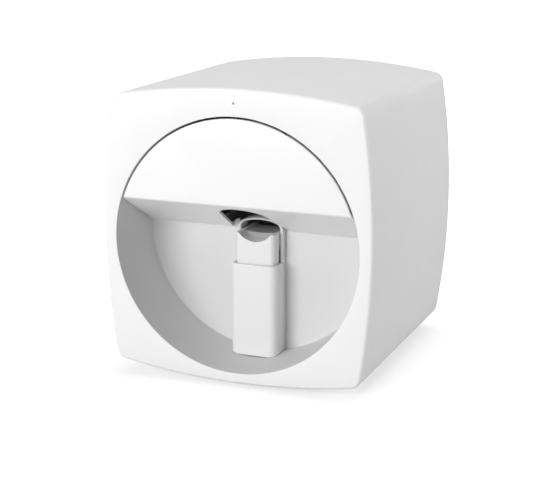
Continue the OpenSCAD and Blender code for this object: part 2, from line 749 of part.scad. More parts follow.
module side_frame_right() color("darkgray") at_recess() {
    side_plate();
    // idler stud and motor seat of the front-to-back belt
    rod_x(idler_pin_r, rail_x - pulley_w / 2 - 1, frame_x - rail_x + pulley_w / 2 + 1.5, y_belt_ys[0], y_belt_z);
    difference() {
        union() {
            box([y_motor_x, y_belt_ys[1] - 18, y_belt_z - 18],
                [y_motor_x + 2.5, frame_ys[1], y_belt_z + 18]);
            box([y_motor_x, frame_ys[1] - frame_t, y_belt_z - 18], [frame_x + 1, frame_ys[1], y_belt_z + 18]);
        }
        rod_x(motor_boss_r + fit_gap, y_motor_x - through, 5, y_belt_ys[1], y_belt_z);
    }
}

y_motor_x = rail_x - 12;
motor_boss_r = 9;

module top_bridge() color("darkgray") at_recess() {
    box([-frame_x - frame_t, bridge_ys[0], frame_top], [frame_x + frame_t, bridge_ys[1], frame_top + bridge_t]);
    both_sides() box([frame_x - frame_t, bridge_ys[0], frame_top - 10], [frame_x, bridge_ys[1], frame_top + 1]);
}

module frame_screws() color("silver") at_recess() at_frame_screws() {
    translate([0, 0, tray_z - pillar_screw]) cylinder(r = screw_r, h = pillar_screw + tray_t + frame_t + head_t / 2);
    translate([0, 0, tray_top + frame_t]) cylinder(r = head_r, h = head_t);
}

module y_rail(side) color("silver") at_recess()
    rod_y(y_rail_r, frame_ys[0] - 1, frame_ys[1] - frame_ys[0] + 2, side * rail_x, y_rail_z);

// Motor body with its front boss and a bore for the shaft; the shaft axis is +z
module motor(side, len) difference() {
    union() {
        translate([-side / 2, -side / 2, -len]) cube([side, side, len]);
        cylinder(r = motor_boss_r, h = 1.5);
    }
    translate([0, 0, -len / 2]) cylinder(r = shaft_r + run_gap, h = len);
}

module pulley(bore) difference() {
    union() {
        cylinder(r = pulley_r, h = pulley_w);
        for (z = [0, pulley_w - 0.4]) translate([0, 0, z]) cylinder(r = pulley_r + 0.8, h = 0.4);
    }
    if (bore > 0) translate([0, 0, -through]) cylinder(r = bore, h = pulley_w + 2 * through);
}

module y_motor() color("dimgray") at_recess()
    translate([y_motor_x, y_belt_ys[1], y_belt_z]) rotate([0, 90, 0]) motor(y_motor_side, y_motor_len);

module y_pulley() color("silver") at_recess()
    translate([rail_x - pulley_w / 2, y_belt_ys[1], y_belt_z]) rotate([0, 90, 0]) {
        pulley(0);
        translate([0, 0, -(rail_x - pulley_w / 2 - y_motor_x) - 10])
            cylinder(r = shaft_r, h = rail_x - pulley_w / 2 - y_motor_x + 11);
    }

module y_idler() color("silver") at_recess()
    translate([rail_x - pulley_w / 2, y_belt_ys[0], y_belt_z]) rotate([0, 90, 0])
        pulley(idler_pin_r + run_gap);

module belt_loop(a, b) difference() {
    stadium(a, b, belt_out);
    stadium(a, b, belt_out - belt_t);
}

module y_belt() color("black") at_recess()
    translate([0, 0, y_belt_z]) along_x(rail_x - belt_w / 2, belt_w) belt_loop(y_belt_ys[0], y_belt_ys[1]);

// Cross slide

// Block that runs on one front-to-back rod and holds the ends of the cross rods
module slide_block() difference() {
    union() {
        box([block_in, block_ys[0], block_zs[0]], [rail_x + block_half, block_ys[1], block_zs[1]]);
        // arm and plate behind the block for the cross belt's end
        for (z = [x_belt_z - 18, x_belt_z + 12])
            box([x_belt_x, block_ys[1] - 1, z], [block_in + 5, motor_plate_y + motor_plate_t, z + 6]);
        box([x_belt_x - x_motor_side / 2, motor_plate_y, x_belt_z - 18],
            [block_in + 5, motor_plate_y + motor_plate_t, x_belt_z + 18]);
    }
    rod_y(y_bush_r + press_gap, block_ys[0] - through, block_ys[1] - block_ys[0] + 2 * through, rail_x, y_rail_z);
    rod_y(y_rail_r + 2, motor_plate_y - through, motor_plate_t + 2 * through, rail_x, y_rail_z);
    for (z = [x_rail_low_z, x_rail_high_z])
        rod_x(x_rail_r + press_gap, block_in - through, block_half * 2, x_rail_y, z);
}

module y_block_left() color("slategray") at_recess() mirror([1, 0, 0]) difference() {
    slide_block();
    rod_y(motor_boss_r + fit_gap, motor_plate_y - through, 5, x_belt_x, x_belt_z);
}

module y_block_right() color("slategray") at_recess() {
    slide_block();
    rod_y(idler_pin_r, x_belt_y - 1, motor_plate_y - x_belt_y + 1.5, x_belt_x, x_belt_z);
    // fork that grips the front-to-back belt's upper run
    difference() {
        box([rail_x - 5, x_rail_y - 5, pulley_r - 5], [rail_x + 5, x_rail_y + 5, block_zs[0] + 1]);
        box([rail_x - belt_w / 2 - fit_gap, x_rail_y - 6, y_belt_z + belt_out - belt_t - fit_gap],
            [rail_x + 6, x_rail_y + 6, y_belt_z + belt_out + fit_gap]);
    }
}

module bush(r, bore, len, gap) difference() {
    cylinder(r = r, h = len);
    translate([0, 0, -through]) cylinder(r = bore + gap, h = len + 2 * through);
}

module y_bushes() color("goldenrod") at_recess() both_sides()
    for (y = [block_ys[0], block_ys[1] - y_bush_len])
        translate([rail_x, y, y_rail_z]) rotate([-90, 0, 0]) bush(y_bush_r, y_rail_r, y_bush_len, bush_gap);

module x_rail(z) color("silver") at_recess()
    rod_x(x_rail_r, -(block_in + block_half * 2 - 2), 2 * (block_in + block_half * 2 - 2), x_rail_y, z);

module x_motor() color("dimgray") at_recess()
    translate([-x_belt_x, motor_plate_y + motor_plate_t, x_belt_z]) rotate([90, 0, 0])
        motor_x();

module motor_x() motor(x_motor_side, x_motor_len);

module x_pulley() color("silver") at_recess()
    translate([-x_belt_x, x_belt_y, x_belt_z]) rotate([-90, 0, 0]) {
        pulley(0);
        translate([0, 0, pulley_w - 1]) cylinder(r = shaft_r, h = motor_plate_t + 12);
    }

module x_idler() color("silver") at_recess()
    translate([x_belt_x, x_belt_y, x_belt_z]) rotate([-90, 0, 0]) pulley(idler_pin_r + run_gap);

module x_belt() color("black") at_recess()
    translate([0, 0, x_belt_z]) along_y(x_belt_y + 0.5, belt_w) belt_loop(-x_belt_x, x_belt_x);

module encoder_strip() color("lightgray") at_recess()
    box([-block_in, x_rail_y + 8, strip_z], [block_in, x_rail_y + 8.6, strip_z + 5]);

module x_carriage() color("slategray") at_recess() difference() {
    union() {
        box([-carriage_half, back_plate_y, tray_floor_z], [carriage_half, back_plate_y + back_plate_t, strip_z]);
        box([-cartridge_w / 2 - 3, carriage_y, tray_floor_z], [cartridge_w / 2 + 3, back_plate_y + 1, tray_floor_z + 2.5]);
        both_sides() {
            box([ear_in, carriage_y, tray_floor_z], [ear_out, back_plate_y + 1, tray_floor_z + 30]);
            box([ear_in, latch_y - latch_ear, tray_floor_z], [ear_out, carriage_y + 1, latch_z + latch_ear]);
        }
        for (z = [x_rail_low_z, x_rail_high_z]) {
            rod_x(x_bush_r + 2.4, -carriage_half, 2 * carriage_half, x_rail_y, z);
            box([-carriage_half, back_plate_y, z - 4], [carriage_half, x_rail_y, z + 4]);
        }
        // fork for the encoder strip, and the clamp of the cross belt
        for (y = [x_rail_y + 5, x_rail_y + 9.6]) box([-4, y, strip_z - 8], [4, y + 2, strip_z + 4]);
        box([-4, back_plate_y + 1, strip_z - 8], [4, x_rail_y + 11.6, strip_z - 4]);
        box([-5, back_plate_y + 1, x_belt_z + 3], [5, x_belt_y + belt_w + 1, x_belt_z + 12]);
    }
    box([-snout_half - 1, snout_y - 1, tray_floor_z - through], [snout_half + 1, snout_y + snout_d + 1, tray_floor_z + 4]);
    for (z = [x_rail_low_z, x_rail_high_z])
        rod_x(x_bush_r + press_gap, -carriage_half - through, 2 * carriage_half + 2 * through, x_rail_y, z);
    box([-6, x_belt_y - 1, x_belt_z + belt_out - belt_t - fit_gap],
        [6, x_belt_y + belt_w + 3, x_belt_z + belt_out + fit_gap]);
    // pin holes of the latch
    rod_x(latch_pin_r + run_gap, -cartridge_w, 2 * cartridge_w, latch_y, latch_z);
}

snout_half = 9;
latch_pin_r = 1.2;

module x_bushes() color("goldenrod") at_recess()
    for (z = [x_rail_low_z, x_rail_high_z], x = [-carriage_half, carriage_half - x_bush_len])
        translate([x, x_rail_y, z]) rotate([0, 90, 0]) bush(x_bush_r, x_rail_r, x_bush_len, bush_gap);

module ink_cartridge() color("midnightblue") at_recess() {
    box([-cartridge_w / 2, carriage_y + 2, tray_floor_z + 2.5],
        [cartridge_w / 2, carriage_y + 2 + cartridge_d, tray_floor_z + 2.5 + cartridge_h]);
    box([-snout_half, snout_y, nozzle_z], [snout_half, snout_y + snout_d, tray_floor_z + 3]);
    box([-8, carriage_y + 2, tray_floor_z + 2 + cartridge_h], [8, carriage_y + 8, tray_floor_z + 6 + cartridge_h]);
}

// Swinging bar in front of the cartridge, with a nub that holds it in
module cartridge_latch() color("steelblue") at_recess() {
    rod_x(latch_pin_r, 0.5 - ear_out, 2 * ear_out - 1, latch_y, latch_z);
    rod_x(latch_t, fit_gap - ear_in, 2 * (ear_in - fit_gap), latch_y, latch_z);
    box([-latch_w / 2, latch_y - latch_t / 2, latch_z], [latch_w / 2, latch_y + latch_t / 2, latch_z + latch_h]);
    box([-latch_w / 2, latch_y, latch_z + latch_h - 6],
        [latch_w / 2, carriage_y + 2 - fit_gap, latch_z + latch_h - 3]);
    box([-latch_w / 2, latch_y - 4, latch_z + latch_h - 2], [latch_w / 2, latch_y, latch_z + latch_h]);
}

// Service station, camera, light

module cap_station() color("slategray") at_recess() {
    box([-66, 71, -6], [-38, 90, 9]);
    box([-frame_x, 74, -6], [-65, 88, 0]);
}

module cap_seal() color("black") at_recess() difference() {
    box([-62, 72, 9], [-42, 89, nozzle_z - fit_gap]);
    box([-60, 74, 11], [-44, 87, nozzle_z]);
}

camera_y = 46;
camera_tilt = 25;
camera_r = 7;

module at_camera() translate([0, camera_y, frame_top - 8]) rotate([camera_tilt, 0, 0]) children();

module camera_module() color("dimgray") at_recess() {
    box([-12, camera_y - 6, frame_top - 12], [12, camera_y + 6, frame_top]);
    at_camera() difference() {
        translate([0, 0, -14]) cylinder(r = camera_r, h = 12);
        translate([0, 0, -15]) cylinder(r = camera_r - 1.5, h = 4);
    }
}

module camera_lens() color("black") at_recess() at_camera()
    translate([0, 0, -13]) cylinder(r = camera_r - 1.6, h = 2);

module light_bar() color("white") at_recess() {
    box([-40, bridge_ys[1] - 8, frame_top - 1.6], [40, bridge_ys[1] - 1, frame_top]);
    for (i = [-3:3]) translate([i * 11, bridge_ys[1] - 4.5, frame_top - 3]) cylinder(r = 2.2, h = 2);
}

board_x = [-80, 60];
board_y = [92, 192];
board_z = tray_top + 7;

module main_board() color("seagreen") at_recess() {
    box([board_x[0], board_y[0], board_z], [board_x[1], board_y[1], board_z + 1.6]);
    box([-20, 130, board_z + 1.5], [0, 150, board_z + 4]);
    for (i = [0:3]) translate([-66 + i * 14, 178, board_z + 1.5]) cylinder(r = 4, h = 12);
    for (i = [0:2]) box([20 + i * 12, 96, board_z + 1.5], [28 + i * 12, 104, board_z + 9]);
}

// Fan

module fan_frame() color("dimgray") at_recess() difference() {
    box([-fan_side / 2, fan_y, fan_z - fan_side / 2], [fan_side / 2, fan_y + fan_t, fan_z + fan_side / 2]);
    difference() {
        rod_y(fan_side / 2 - 1.5, fan_y - through, fan_t + 2 * through, 0, fan_z);
        rod_y(5, fan_y + fan_t - 2.5, 2.5, 0, fan_z);
        for (a = [0:90:270]) translate([0, 0, fan_z]) rotate([0, a, 0])
            box([0, fan_y + fan_t - 1.5, -1], [fan_side / 2, fan_y + fan_t, 1]);
    }
    rod_y(1.5 + run_gap, fan_y, fan_t - 0.6, 0, fan_z);
}

module fan_rotor() color("gray") at_recess() translate([0, fan_y, fan_z]) {
    rod_y(8, 0.5, 6);
    rod_y(1.5, 0.5, fan_t - 1.5);
    for (i = [0:fan_blades - 1]) rotate([0, i * 360 / fan_blades, 0])
        translate([7, 3.5, 0]) rotate([35, 0, 0]) cube([fan_side / 2 - 10, 1, 7], center = false);
}

// Power inlet and rocker

module power_inlet() color("black") at_recess() difference() {
    union() {
        rod_y(socket_r + 2.2, pocket_y - 10, 12, socket_x, port_z);
        rod_y(socket_r + 4, pocket_y, 2, socket_x, port_z);
    }
    difference() {
        rod_y(socket_r, pocket_y - 7, 12, socket_x, port_z);
        rod_y(socket_pin_r, pocket_y - 8, 8, socket_x, port_z);
    }
}

module switch_frame() color("black") at_recess() difference() {
    union() {
        box([switch_x - 10.5, pocket_y - 12, port_z - 6.5], [switch_x + 10.5, pocket_y + 1, port_z + 6.5]);
        box([switch_x - 12.5, pocket_y, port_z - 8.5], [switch_x + 12.5, pocket_y + 2, port_z + 8.5]);
    }
    box([switch_x - 9, pocket_y - 10, port_z - 5], [switch_x + 9, pocket_y + 3, port_z + 5]);
}

module power_rocker() color("dimgray") at_recess()
    translate([switch_x, pocket_y - 5, port_z]) rotate([0, 0, rocker_tilt]) intersection() {
        translate([0, 0, -4.6]) cylinder(r = rocker_r - 0.6, h = 9.2);
        box([-9, -2, -5], [9, 7.5, 5]);
    }

housing_shell();
front_bezel();
recess_bowl();
rear_cover();
cover_screws();
bowl_screws();
indicator_lens();
foot(-foot_x, foot_ys[0]);  // foot_front_left
foot(foot_x, foot_ys[0]);  // foot_front_right
foot(-foot_x, foot_ys[1]);  // foot_rear_left
foot(foot_x, foot_ys[1]);  // foot_rear_right
foot_screws();
visor();
visor_hinge_pins();
visor_magnets();
catch_magnets();
finger_sleeve();
finger_cradle();
cradle_pad();
cradle_spring();
spring_seat();
finger_tunnel();
tunnel_stand();
base_tray();
side_frame_left();
side_frame_right();
top_bridge();
frame_screws();
y_rail(-1);  // y_rail_left
y_rail(1);  // y_rail_right
y_motor();
y_pulley();
y_idler();
y_belt();
y_block_left();
y_block_right();
y_bushes();
x_rail(x_rail_high_z);  // x_rail_upper
x_rail(x_rail_low_z);  // x_rail_lower
x_motor();
x_pulley();
x_idler();
x_belt();
encoder_strip();
x_carriage();
x_bushes();
ink_cartridge();
cartridge_latch();
cap_station();
cap_seal();
camera_module();
camera_lens();
light_bar();
main_board();
fan_frame();
fan_rotor();
power_inlet();
switch_frame();
power_rocker();
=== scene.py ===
# %% [markdown]
# # A desktop nail printer
# The real object is a bowed white box with a round recess in its front. A finger goes over the
# post in the middle, through the small arch, and a print head works on the nail inside. The
# imported CAD model is loaded first and stays fixed: every piece made here sits on it, in metres.
# The finished looks may not grow past it.

# %% Load the imported model
import math

import bmesh
import bpy
from mathutils import Matrix, Vector


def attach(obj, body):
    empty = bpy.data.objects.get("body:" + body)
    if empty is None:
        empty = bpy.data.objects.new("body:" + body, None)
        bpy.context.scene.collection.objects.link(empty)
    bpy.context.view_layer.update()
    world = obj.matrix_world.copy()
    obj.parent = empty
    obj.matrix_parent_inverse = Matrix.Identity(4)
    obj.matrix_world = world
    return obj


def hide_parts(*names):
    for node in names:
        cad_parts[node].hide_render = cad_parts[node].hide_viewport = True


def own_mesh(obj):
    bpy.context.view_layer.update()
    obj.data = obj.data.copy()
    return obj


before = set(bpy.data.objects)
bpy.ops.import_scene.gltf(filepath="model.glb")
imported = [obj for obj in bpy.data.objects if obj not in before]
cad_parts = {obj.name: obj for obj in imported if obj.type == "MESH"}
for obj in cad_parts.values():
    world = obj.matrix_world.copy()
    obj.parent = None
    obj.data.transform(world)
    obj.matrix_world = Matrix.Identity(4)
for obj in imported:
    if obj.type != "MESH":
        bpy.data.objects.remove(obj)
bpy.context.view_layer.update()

# %% [markdown]
# ## Camera
# A camera in Blender is a lens and a place. The lens here is a long one, 96 mm on a 36 mm wide
# sensor, so the box's edges run almost parallel. The camera stands to the right of the box, a
# little above it, and looks down at it. A direction is easier to read than three angles, so
# the rotation is worked out from the line of sight.

# %% Camera
camera_data = bpy.data.cameras.new("camera")
camera_data.sensor_width = 36
camera_data.lens = 96.157
camera = bpy.data.objects.new("camera", camera_data)
bpy.context.scene.collection.objects.link(camera)
camera.location = (0.4588, -1.1755, 0.4175)
line_of_sight = Vector((-0.3631, 0.8975, -0.2504))
camera.rotation_mode = "QUATERNION"
camera.rotation_quaternion = line_of_sight.to_track_quat("-Z", "Y")
bpy.context.scene.camera = camera
print("camera is", round(camera.location.length, 3), "m from the origin")

# %% [markdown]
# ## The recess frame
# Nearly everything on this box is placed from the middle of the round opening: so many
# millimetres right, so many back from the front plane, so many up. Working in those numbers
# and turning them into metres in one small function keeps every later cell easy to check.

# %% Millimetres in the recess frame
BODY_DEPTH = 234.0
RECESS_HEIGHT = 122.5
RECESS_DROP = 7.0
OPENING_R = 110.0
RECESS_BACK_R = 106.9
RECESS_DEPTH = 63.9


def at(x, y, z):
    """A point given in millimetres in the recess frame, as metres in the row frame."""
    return Vector((x, y - BODY_DEPTH / 2, z + RECESS_HEIGHT)) * 0.001


def wall_r(y):
    """Radius of the recess wall at a depth behind the front plane."""
    return OPENING_R - (OPENING_R - RECESS_BACK_R) * y / RECESS_DEPTH


print("recess wall tapers from", wall_r(0), "to", round(wall_r(RECESS_DEPTH), 1), "mm")

# %% [markdown]
# ## Making meshes
# A moulded part is mostly walls swept between outlines, so the workhorse here is a loft: a list
# of rings with the same number of points, joined ring to ring by quads. Holes and trims that
# do not follow a ring are cut with Blender's Boolean modifier, and a narrow Bevel modifier
# breaks the sharp edges afterwards, as a real mould does. Faces are shaded smooth, and edges
# sharper than a set angle stay crisp.

# %% Mesh helpers
scene_collection = bpy.context.scene.collection


def new_piece(name, mesh):
    """Links a mesh to the scene as a piece."""
    piece = bpy.data.objects.new(name, mesh)
    scene_collection.objects.link(piece)
    return piece


def shade(mesh, sharp_degrees=32):
    """Smooth shading, with edges sharper than an angle left crisp."""
    mesh.polygons.foreach_set("use_smooth", [True] * len(mesh.polygons))
    mesh.set_sharp_from_angle(angle=math.radians(sharp_degrees))
    mesh.update()


def mesh_from(name, points, faces):
    """A mesh with outward normals from points and faces."""
    mesh = bpy.data.meshes.new(name)
    mesh.from_pydata([tuple(p) for p in points], [], faces)
    work = bmesh.new()
    work.from_mesh(mesh)
    bmesh.ops.remove_doubles(work, verts=work.verts, dist=1e-7)
    bmesh.ops.dissolve_degenerate(work, dist=1e-7, edges=work.edges)
    bmesh.ops.recalc_face_normals(work, faces=work.faces)
    work.to_mesh(mesh)
    work.free()
    shade(mesh)
    return mesh


def loft(name, rings, closed=False):
    """Quads between neighbouring rings. A closed loft joins its last ring to its first; an open
    one is capped with a face at each end."""
    count = len(rings[0])
    points = [p for ring in rings for p in ring]
    faces = []
    for r in range(len(rings) if closed else len(rings) - 1):
        low, high = r * count, (r + 1) % len(rings) * count
        for i in range(count):
            j = (i + 1) % count
            faces.append((low + i, low + j, high + j, high + i))
    if not closed:
        faces.append(tuple(range(count)))
        faces.append(tuple(range(len(points) - 1, len(points) - count - 1, -1)))
    return new_piece(name, mesh_from(name, points, faces))


def applied(piece):
    """The piece's mesh with its modifiers applied."""
    graph = bpy.context.evaluated_depsgraph_get()
    graph.update()
    mesh = bpy.data.meshes.new_from_object(piece.evaluated_get(graph))
    piece.modifiers.clear()
    piece.data = mesh
    return piece


def combine(piece, operation, *tools):
    """Cuts, joins or trims a piece with other solids, which are used up."""
    for tool in tools:
        step = piece.modifiers.new(operation, "BOOLEAN")
        step.operation = operation
        step.object = tool
        step.solver = "EXACT"
        applied(piece)
        bpy.data.objects.remove(tool)
    clean = bmesh.new()
    clean.from_mesh(piece.data)
    bmesh.ops.remove_doubles(clean, verts=clean.verts, dist=2e-6)
    bmesh.ops.dissolve_degenerate(clean, dist=2e-6, edges=clean.edges)
    clean.to_mesh(piece.data)
    clean.free()
    shade(piece.data)
    return piece


def gather(name, pieces):
    """Several closed shells as one object."""
    work = bmesh.new()
    for piece in pieces:
        work.from_mesh(piece.data)
        bpy.data.objects.remove(piece)
    mesh = bpy.data.meshes.new(name)
    work.to_mesh(mesh)
    work.free()
    shade(mesh)
    return new_piece(name, mesh)


def break_edges(piece, width_mm, segments=3, degrees=40):
    """Rounds the sharp edges, as a real mould or cutter leaves them."""
    bevel = piece.modifiers.new("broken edges", "BEVEL")
    bevel.width = width_mm * 0.001
    bevel.segments = segments
    bevel.limit_method = "ANGLE"
    bevel.angle_limit = math.radians(degrees)
    bevel.use_clamp_overlap = True
    bevel.harden_normals = True
    return piece


def block(name, low, high):
    """A block between two corners given in the recess frame."""
    (x0, y0, z0), (x1, y1, z1) = low, high
    ring = [(x0, y0), (x1, y0), (x1, y1), (x0, y1)]
    return loft(name, [[at(x, y, z) for x, y in ring] for z in (z0, z1)])


def disc_ring(r, y, x=0.0, z=0.0, count=96):
    """A ring of points round an axis that runs from front to back."""
    turn = 2 * math.pi / count
    return [at(x + r * math.cos(i * turn), y, z + r * math.sin(i * turn)) for i in range(count)]


def turned_y(name, profile, x=0.0, z=0.0, count=96, closed=False):
    """A turned solid whose axis runs from front to back; the profile is (radius, depth)."""
    return loft(name, [disc_ring(r, y, x, z, count) for r, y in profile], closed)


def turned_z(name, profile, x, y, count=64, closed=False):
    """A turned solid with an upright axis; the profile is (radius, height)."""
    turn = 2 * math.pi / count
    rings = [[at(x + r * math.cos(i * turn), y + r * math.sin(i * turn), z) for i in range(count)]
             for r, z in profile]
    return loft(name, rings, closed)


def swept_x(name, shape, x0, x1):
    """A (depth, height) shape swept from side to side."""
    return loft(name, [[at(x, y, z) for y, z in shape] for x in (x0, x1)])


def swept_y(name, shape, y0, y1):
    """An (across, height) shape swept from front to back."""
    return loft(name, [[at(x, y, z) for x, z in shape] for y in (y0, y1)])


def swept_z(name, shape, z0, z1):
    """An (across, depth) shape swept upwards."""
    return loft(name, [[at(x, y, z) for x, y in shape] for z in (z0, z1)])


def arc(cx, cy, r, start, stop, steps):
    """Points along an arc, angles in degrees."""
    return [(cx + r * math.cos(math.radians(start + (stop - start) * i / steps)),
             cy + r * math.sin(math.radians(start + (stop - start) * i / steps)))
            for i in range(steps + 1)]


print("mesh helpers ready")

# %% [markdown]
# ## Moulded plastic
# The housing, bezel, visor and finger parts are white moulded plastic with different polish. The
# recess and the portal of the finger tunnel are the same white made darker, which is painted shade,
# because they stand in the shade of the recess. One function makes them all: a very fine grain
# pushed into the surface normal, a slower noise that shifts the gloss a little, and a faint
# cloudiness in the colour. Object coordinates keep the grain the same size on every part. Values
# that are the same all over go straight on the shader's own sockets.

# %% Finishes: moulded plastic


def start_material(name):
    """A new node material; returns it with its node tree and its shader."""
    material = bpy.data.materials.new(name)
    material.use_nodes = True
    tree = material.node_tree
    shader = tree.nodes["Principled BSDF"]
    return material, tree, shader


def noise(tree, scale, detail=3.0, stretch=(1, 1, 1), roughness=0.5):
    """A noise in object space; stretch makes it run along an axis."""
    place = tree.nodes.new("ShaderNodeTexCoord")
    mapping = tree.nodes.new("ShaderNodeMapping")
    mapping.inputs["Scale"].default_value = stretch
    texture = tree.nodes.new("ShaderNodeTexNoise")
    texture.inputs["Scale"].default_value = scale
    texture.inputs["Detail"].default_value = detail
    texture.inputs["Roughness"].default_value = roughness
    tree.links.new(place.outputs["Object"], mapping.inputs["Vector"])
    tree.links.new(mapping.outputs["Vector"], texture.inputs["Vector"])
    return texture.outputs["Fac"]


def spread(tree, value, low, high, socket, start=0.3, stop=0.7):
    """Maps a 0 to 1 pattern onto a range and feeds it to a socket."""
    node = tree.nodes.new("ShaderNodeMapRange")
    node.inputs["From Min"].default_value = start
    node.inputs["From Max"].default_value = stop
    node.inputs["To Min"].default_value = low
    node.inputs["To Max"].default_value = high
    tree.links.new(value, node.inputs["Value"])
    tree.links.new(node.outputs["Result"], socket)
    return node


def two_tone(tree, value, dark, light, socket, start=0.35, stop=0.65):
    """Mixes two close colours by a pattern."""
    ramp = tree.nodes.new("ShaderNodeValToRGB")
    ramp.color_ramp.elements[0].position = start
    ramp.color_ramp.elements[1].position = stop
    ramp.color_ramp.elements[0].color = (*dark, 1)
    ramp.color_ramp.elements[1].color = (*light, 1)
    tree.links.new(value, ramp.inputs["Fac"])
    tree.links.new(ramp.outputs["Color"], socket)


def bump(tree, shader, value, depth_mm, strength):
    """Pushes a pattern into the surface normal."""
    node = tree.nodes.new("ShaderNodeBump")
    node.inputs["Distance"].default_value = depth_mm * 0.001
    node.inputs["Strength"].default_value = strength
    tree.links.new(value, node.inputs["Height"])
    tree.links.new(node.outputs["Normal"], shader.inputs["Normal"])


def moulded(name, colour, gloss_low, gloss_high, grain=1800, grain_depth=0.02, strength=0.25,
            shift=0.012):
    """Moulded plastic: a fine grain, a drift in its gloss and a faint cloud in its colour."""
    material, tree, shader = start_material(name)
    dark = tuple(max(0.0, c - shift) for c in colour)
    two_tone(tree, noise(tree, 22, 4), dark, colour, shader.inputs["Base Color"])
    spread(tree, noise(tree, 60, 4), gloss_low, gloss_high, shader.inputs["Roughness"])
    bump(tree, shader, noise(tree, grain, 2), grain_depth, strength)
    shader.inputs["IOR"].default_value = 1.46
    return material


housing_white = moulded("satin white housing plastic", (0.8, 0.8, 0.8), 0.4, 0.5)
front_white = moulded("gloss white front plastic", (0.88, 0.88, 0.88), 0.3, 0.38, grain=900,
                      grain_depth=0.01, strength=0.12, shift=0.006)
# painted shade: the recess plastic is the same white made darker, standing for the shade inside the recess
recess_white = moulded("matt white recess plastic with painted shade", (0.67, 0.67, 0.675), 0.5, 0.62)
finger_white = moulded("satin white finger plastic", (0.8, 0.8, 0.8), 0.36, 0.46)
# painted shade: the portal is white plastic made darker, for the shade it stands in behind the post
portal_white_painted_shade = moulded("satin white portal plastic with painted shade", (0.66, 0.66, 0.665), 0.4, 0.52)
print("plastics:", [m.name for m in bpy.data.materials if "plastic" in m.name])


def finish(piece, material, body, *nodes, slot=None):
    """Gives a piece its material, its body and the CAD nodes that it stands for."""
    piece.data.materials.clear()
    piece.data.materials.append(material)
    if nodes:
        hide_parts(*nodes)
    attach(piece, body)
    return piece


# %% [markdown]
# ## Body outline
# Seen from the front the body is a rounded square whose four sides bow outwards. Each side is
# one long arc, and a small corner arc touches two of them. The corner's centre follows from
# the two bows, so the outline is worked out and not traced. The points are kept in the same
# order for every inset, which lets the loft join any two of these rings.

# %% Body outline
HALF_WIDTH, HALF_HEIGHT = 121.0, 126.0
SIDE_BOW_R, TOP_BOW_R, CORNER_R = 668.0, 617.0, 9.3
side_centre = HALF_WIDTH - SIDE_BOW_R
top_centre = HALF_HEIGHT - TOP_BOW_R
bow_span = math.hypot(side_centre, top_centre)
bow_along = ((SIDE_BOW_R - CORNER_R) ** 2 - (TOP_BOW_R - CORNER_R) ** 2 + bow_span ** 2) / (2 * bow_span)
bow_across = math.sqrt((SIDE_BOW_R - CORNER_R) ** 2 - bow_along ** 2)
corner_x = side_centre - (bow_along * side_centre + bow_across * top_centre) / bow_span
corner_z = (bow_along * top_centre - bow_across * side_centre) / bow_span
side_turn = math.degrees(math.atan2(corner_z, corner_x - side_centre))
top_turn = math.degrees(math.atan2(corner_z - top_centre, corner_x))


def outline(inset):
    """The body outline in (across, height), set in by a distance."""
    quarter = (arc(side_centre, 0, SIDE_BOW_R - inset, 0, side_turn, 24)
               + arc(corner_x, corner_z, CORNER_R - inset, side_turn, top_turn, 14)[1:]
               + arc(0, top_centre, TOP_BOW_R - inset, top_turn, 90, 24)[1:])
    left = [(-x, z) for x, z in reversed(quarter[:-1])]
    lower = [(-x, -z) for x, z in quarter[1:]] + [(x, -z) for x, z in reversed(quarter[1:-1])]
    return [(x, z + RECESS_DROP) for x, z in quarter + left + lower]


def outline_ring(inset, y):
    """The outline as a ring of points at a depth."""
    return [at(x, y, z) for x, z in outline(inset)]


OUTLINE_TURNS = [math.atan2(z, x) for x, z in outline(0)]


def matched_ring(r, y):
    """A circle whose points lie opposite the outline's points."""
    return [at(r * math.cos(t), y, r * math.sin(t)) for t in OUTLINE_TURNS]


print("outline has", len(OUTLINE_TURNS), "points; corner centre", round(corner_x, 1), round(corner_z, 1))

# %% [markdown]
# ## Front bezel
# The bezel is the white frame round the opening. Its outer edge is rounded and its inner edge
# only broken, so the opening reads as a clean circle. Its whole cross-section is one closed
# chain of rings, from the outer edge over the front, down the collar and round the spigot
# behind, so no cut is needed except the small hole for the indicator. The mould is polished on
# the face and textured inside the collar, so those faces take the bowl's matt finish; its darker
# colour is painted shade of the recess.

# %% Front bezel
PANEL_T = 3.0
WALL = 3.0
SPIGOT_OUT, SPIGOT_IN, SPIGOT_LEN = 3.3, 5.3, 8.0
EDGE_R = 2.4
COLLAR_LEN, COLLAR_T = 9.0, 2.0


def rounded_rim(r, start=0.0, steps=7):
    """Insets and depths over a rounded outer edge that starts at the front."""
    return [(r - r * math.sin(math.pi / 2 * i / steps), start + r - r * math.cos(math.pi / 2 * i / steps))
            for i in range(steps + 1)]


rim = rounded_rim(EDGE_R)
lip = rounded_rim(0.5, steps=4)
bezel_rings = ([outline_ring(inset, y) for inset, y in rim]
               + [outline_ring(0, PANEL_T), outline_ring(SPIGOT_OUT, PANEL_T),
                  outline_ring(SPIGOT_OUT, PANEL_T + SPIGOT_LEN),
                  outline_ring(SPIGOT_IN, PANEL_T + SPIGOT_LEN),
                  outline_ring(SPIGOT_IN, PANEL_T), matched_ring(OPENING_R + COLLAR_T, PANEL_T),
                  matched_ring(OPENING_R + COLLAR_T, COLLAR_LEN),
                  matched_ring(wall_r(COLLAR_LEN), COLLAR_LEN)]
               + [matched_ring(OPENING_R + inset, y) for inset, y in reversed(lip)])
bezel = loft("front_bezel_moulding", bezel_rings, closed=True)
LENS_R, LENS_Z = 0.95, 121.0
combine(bezel, "DIFFERENCE", turned_y("lens_hole", [(LENS_R + 0.05, -1), (LENS_R + 0.05, 4)], 0, LENS_Z, 32))
EAR_RING_R, EAR_R = 117.0, 4.5
EAR_ANGLES = (40, 140, 220, 320)
ears = []
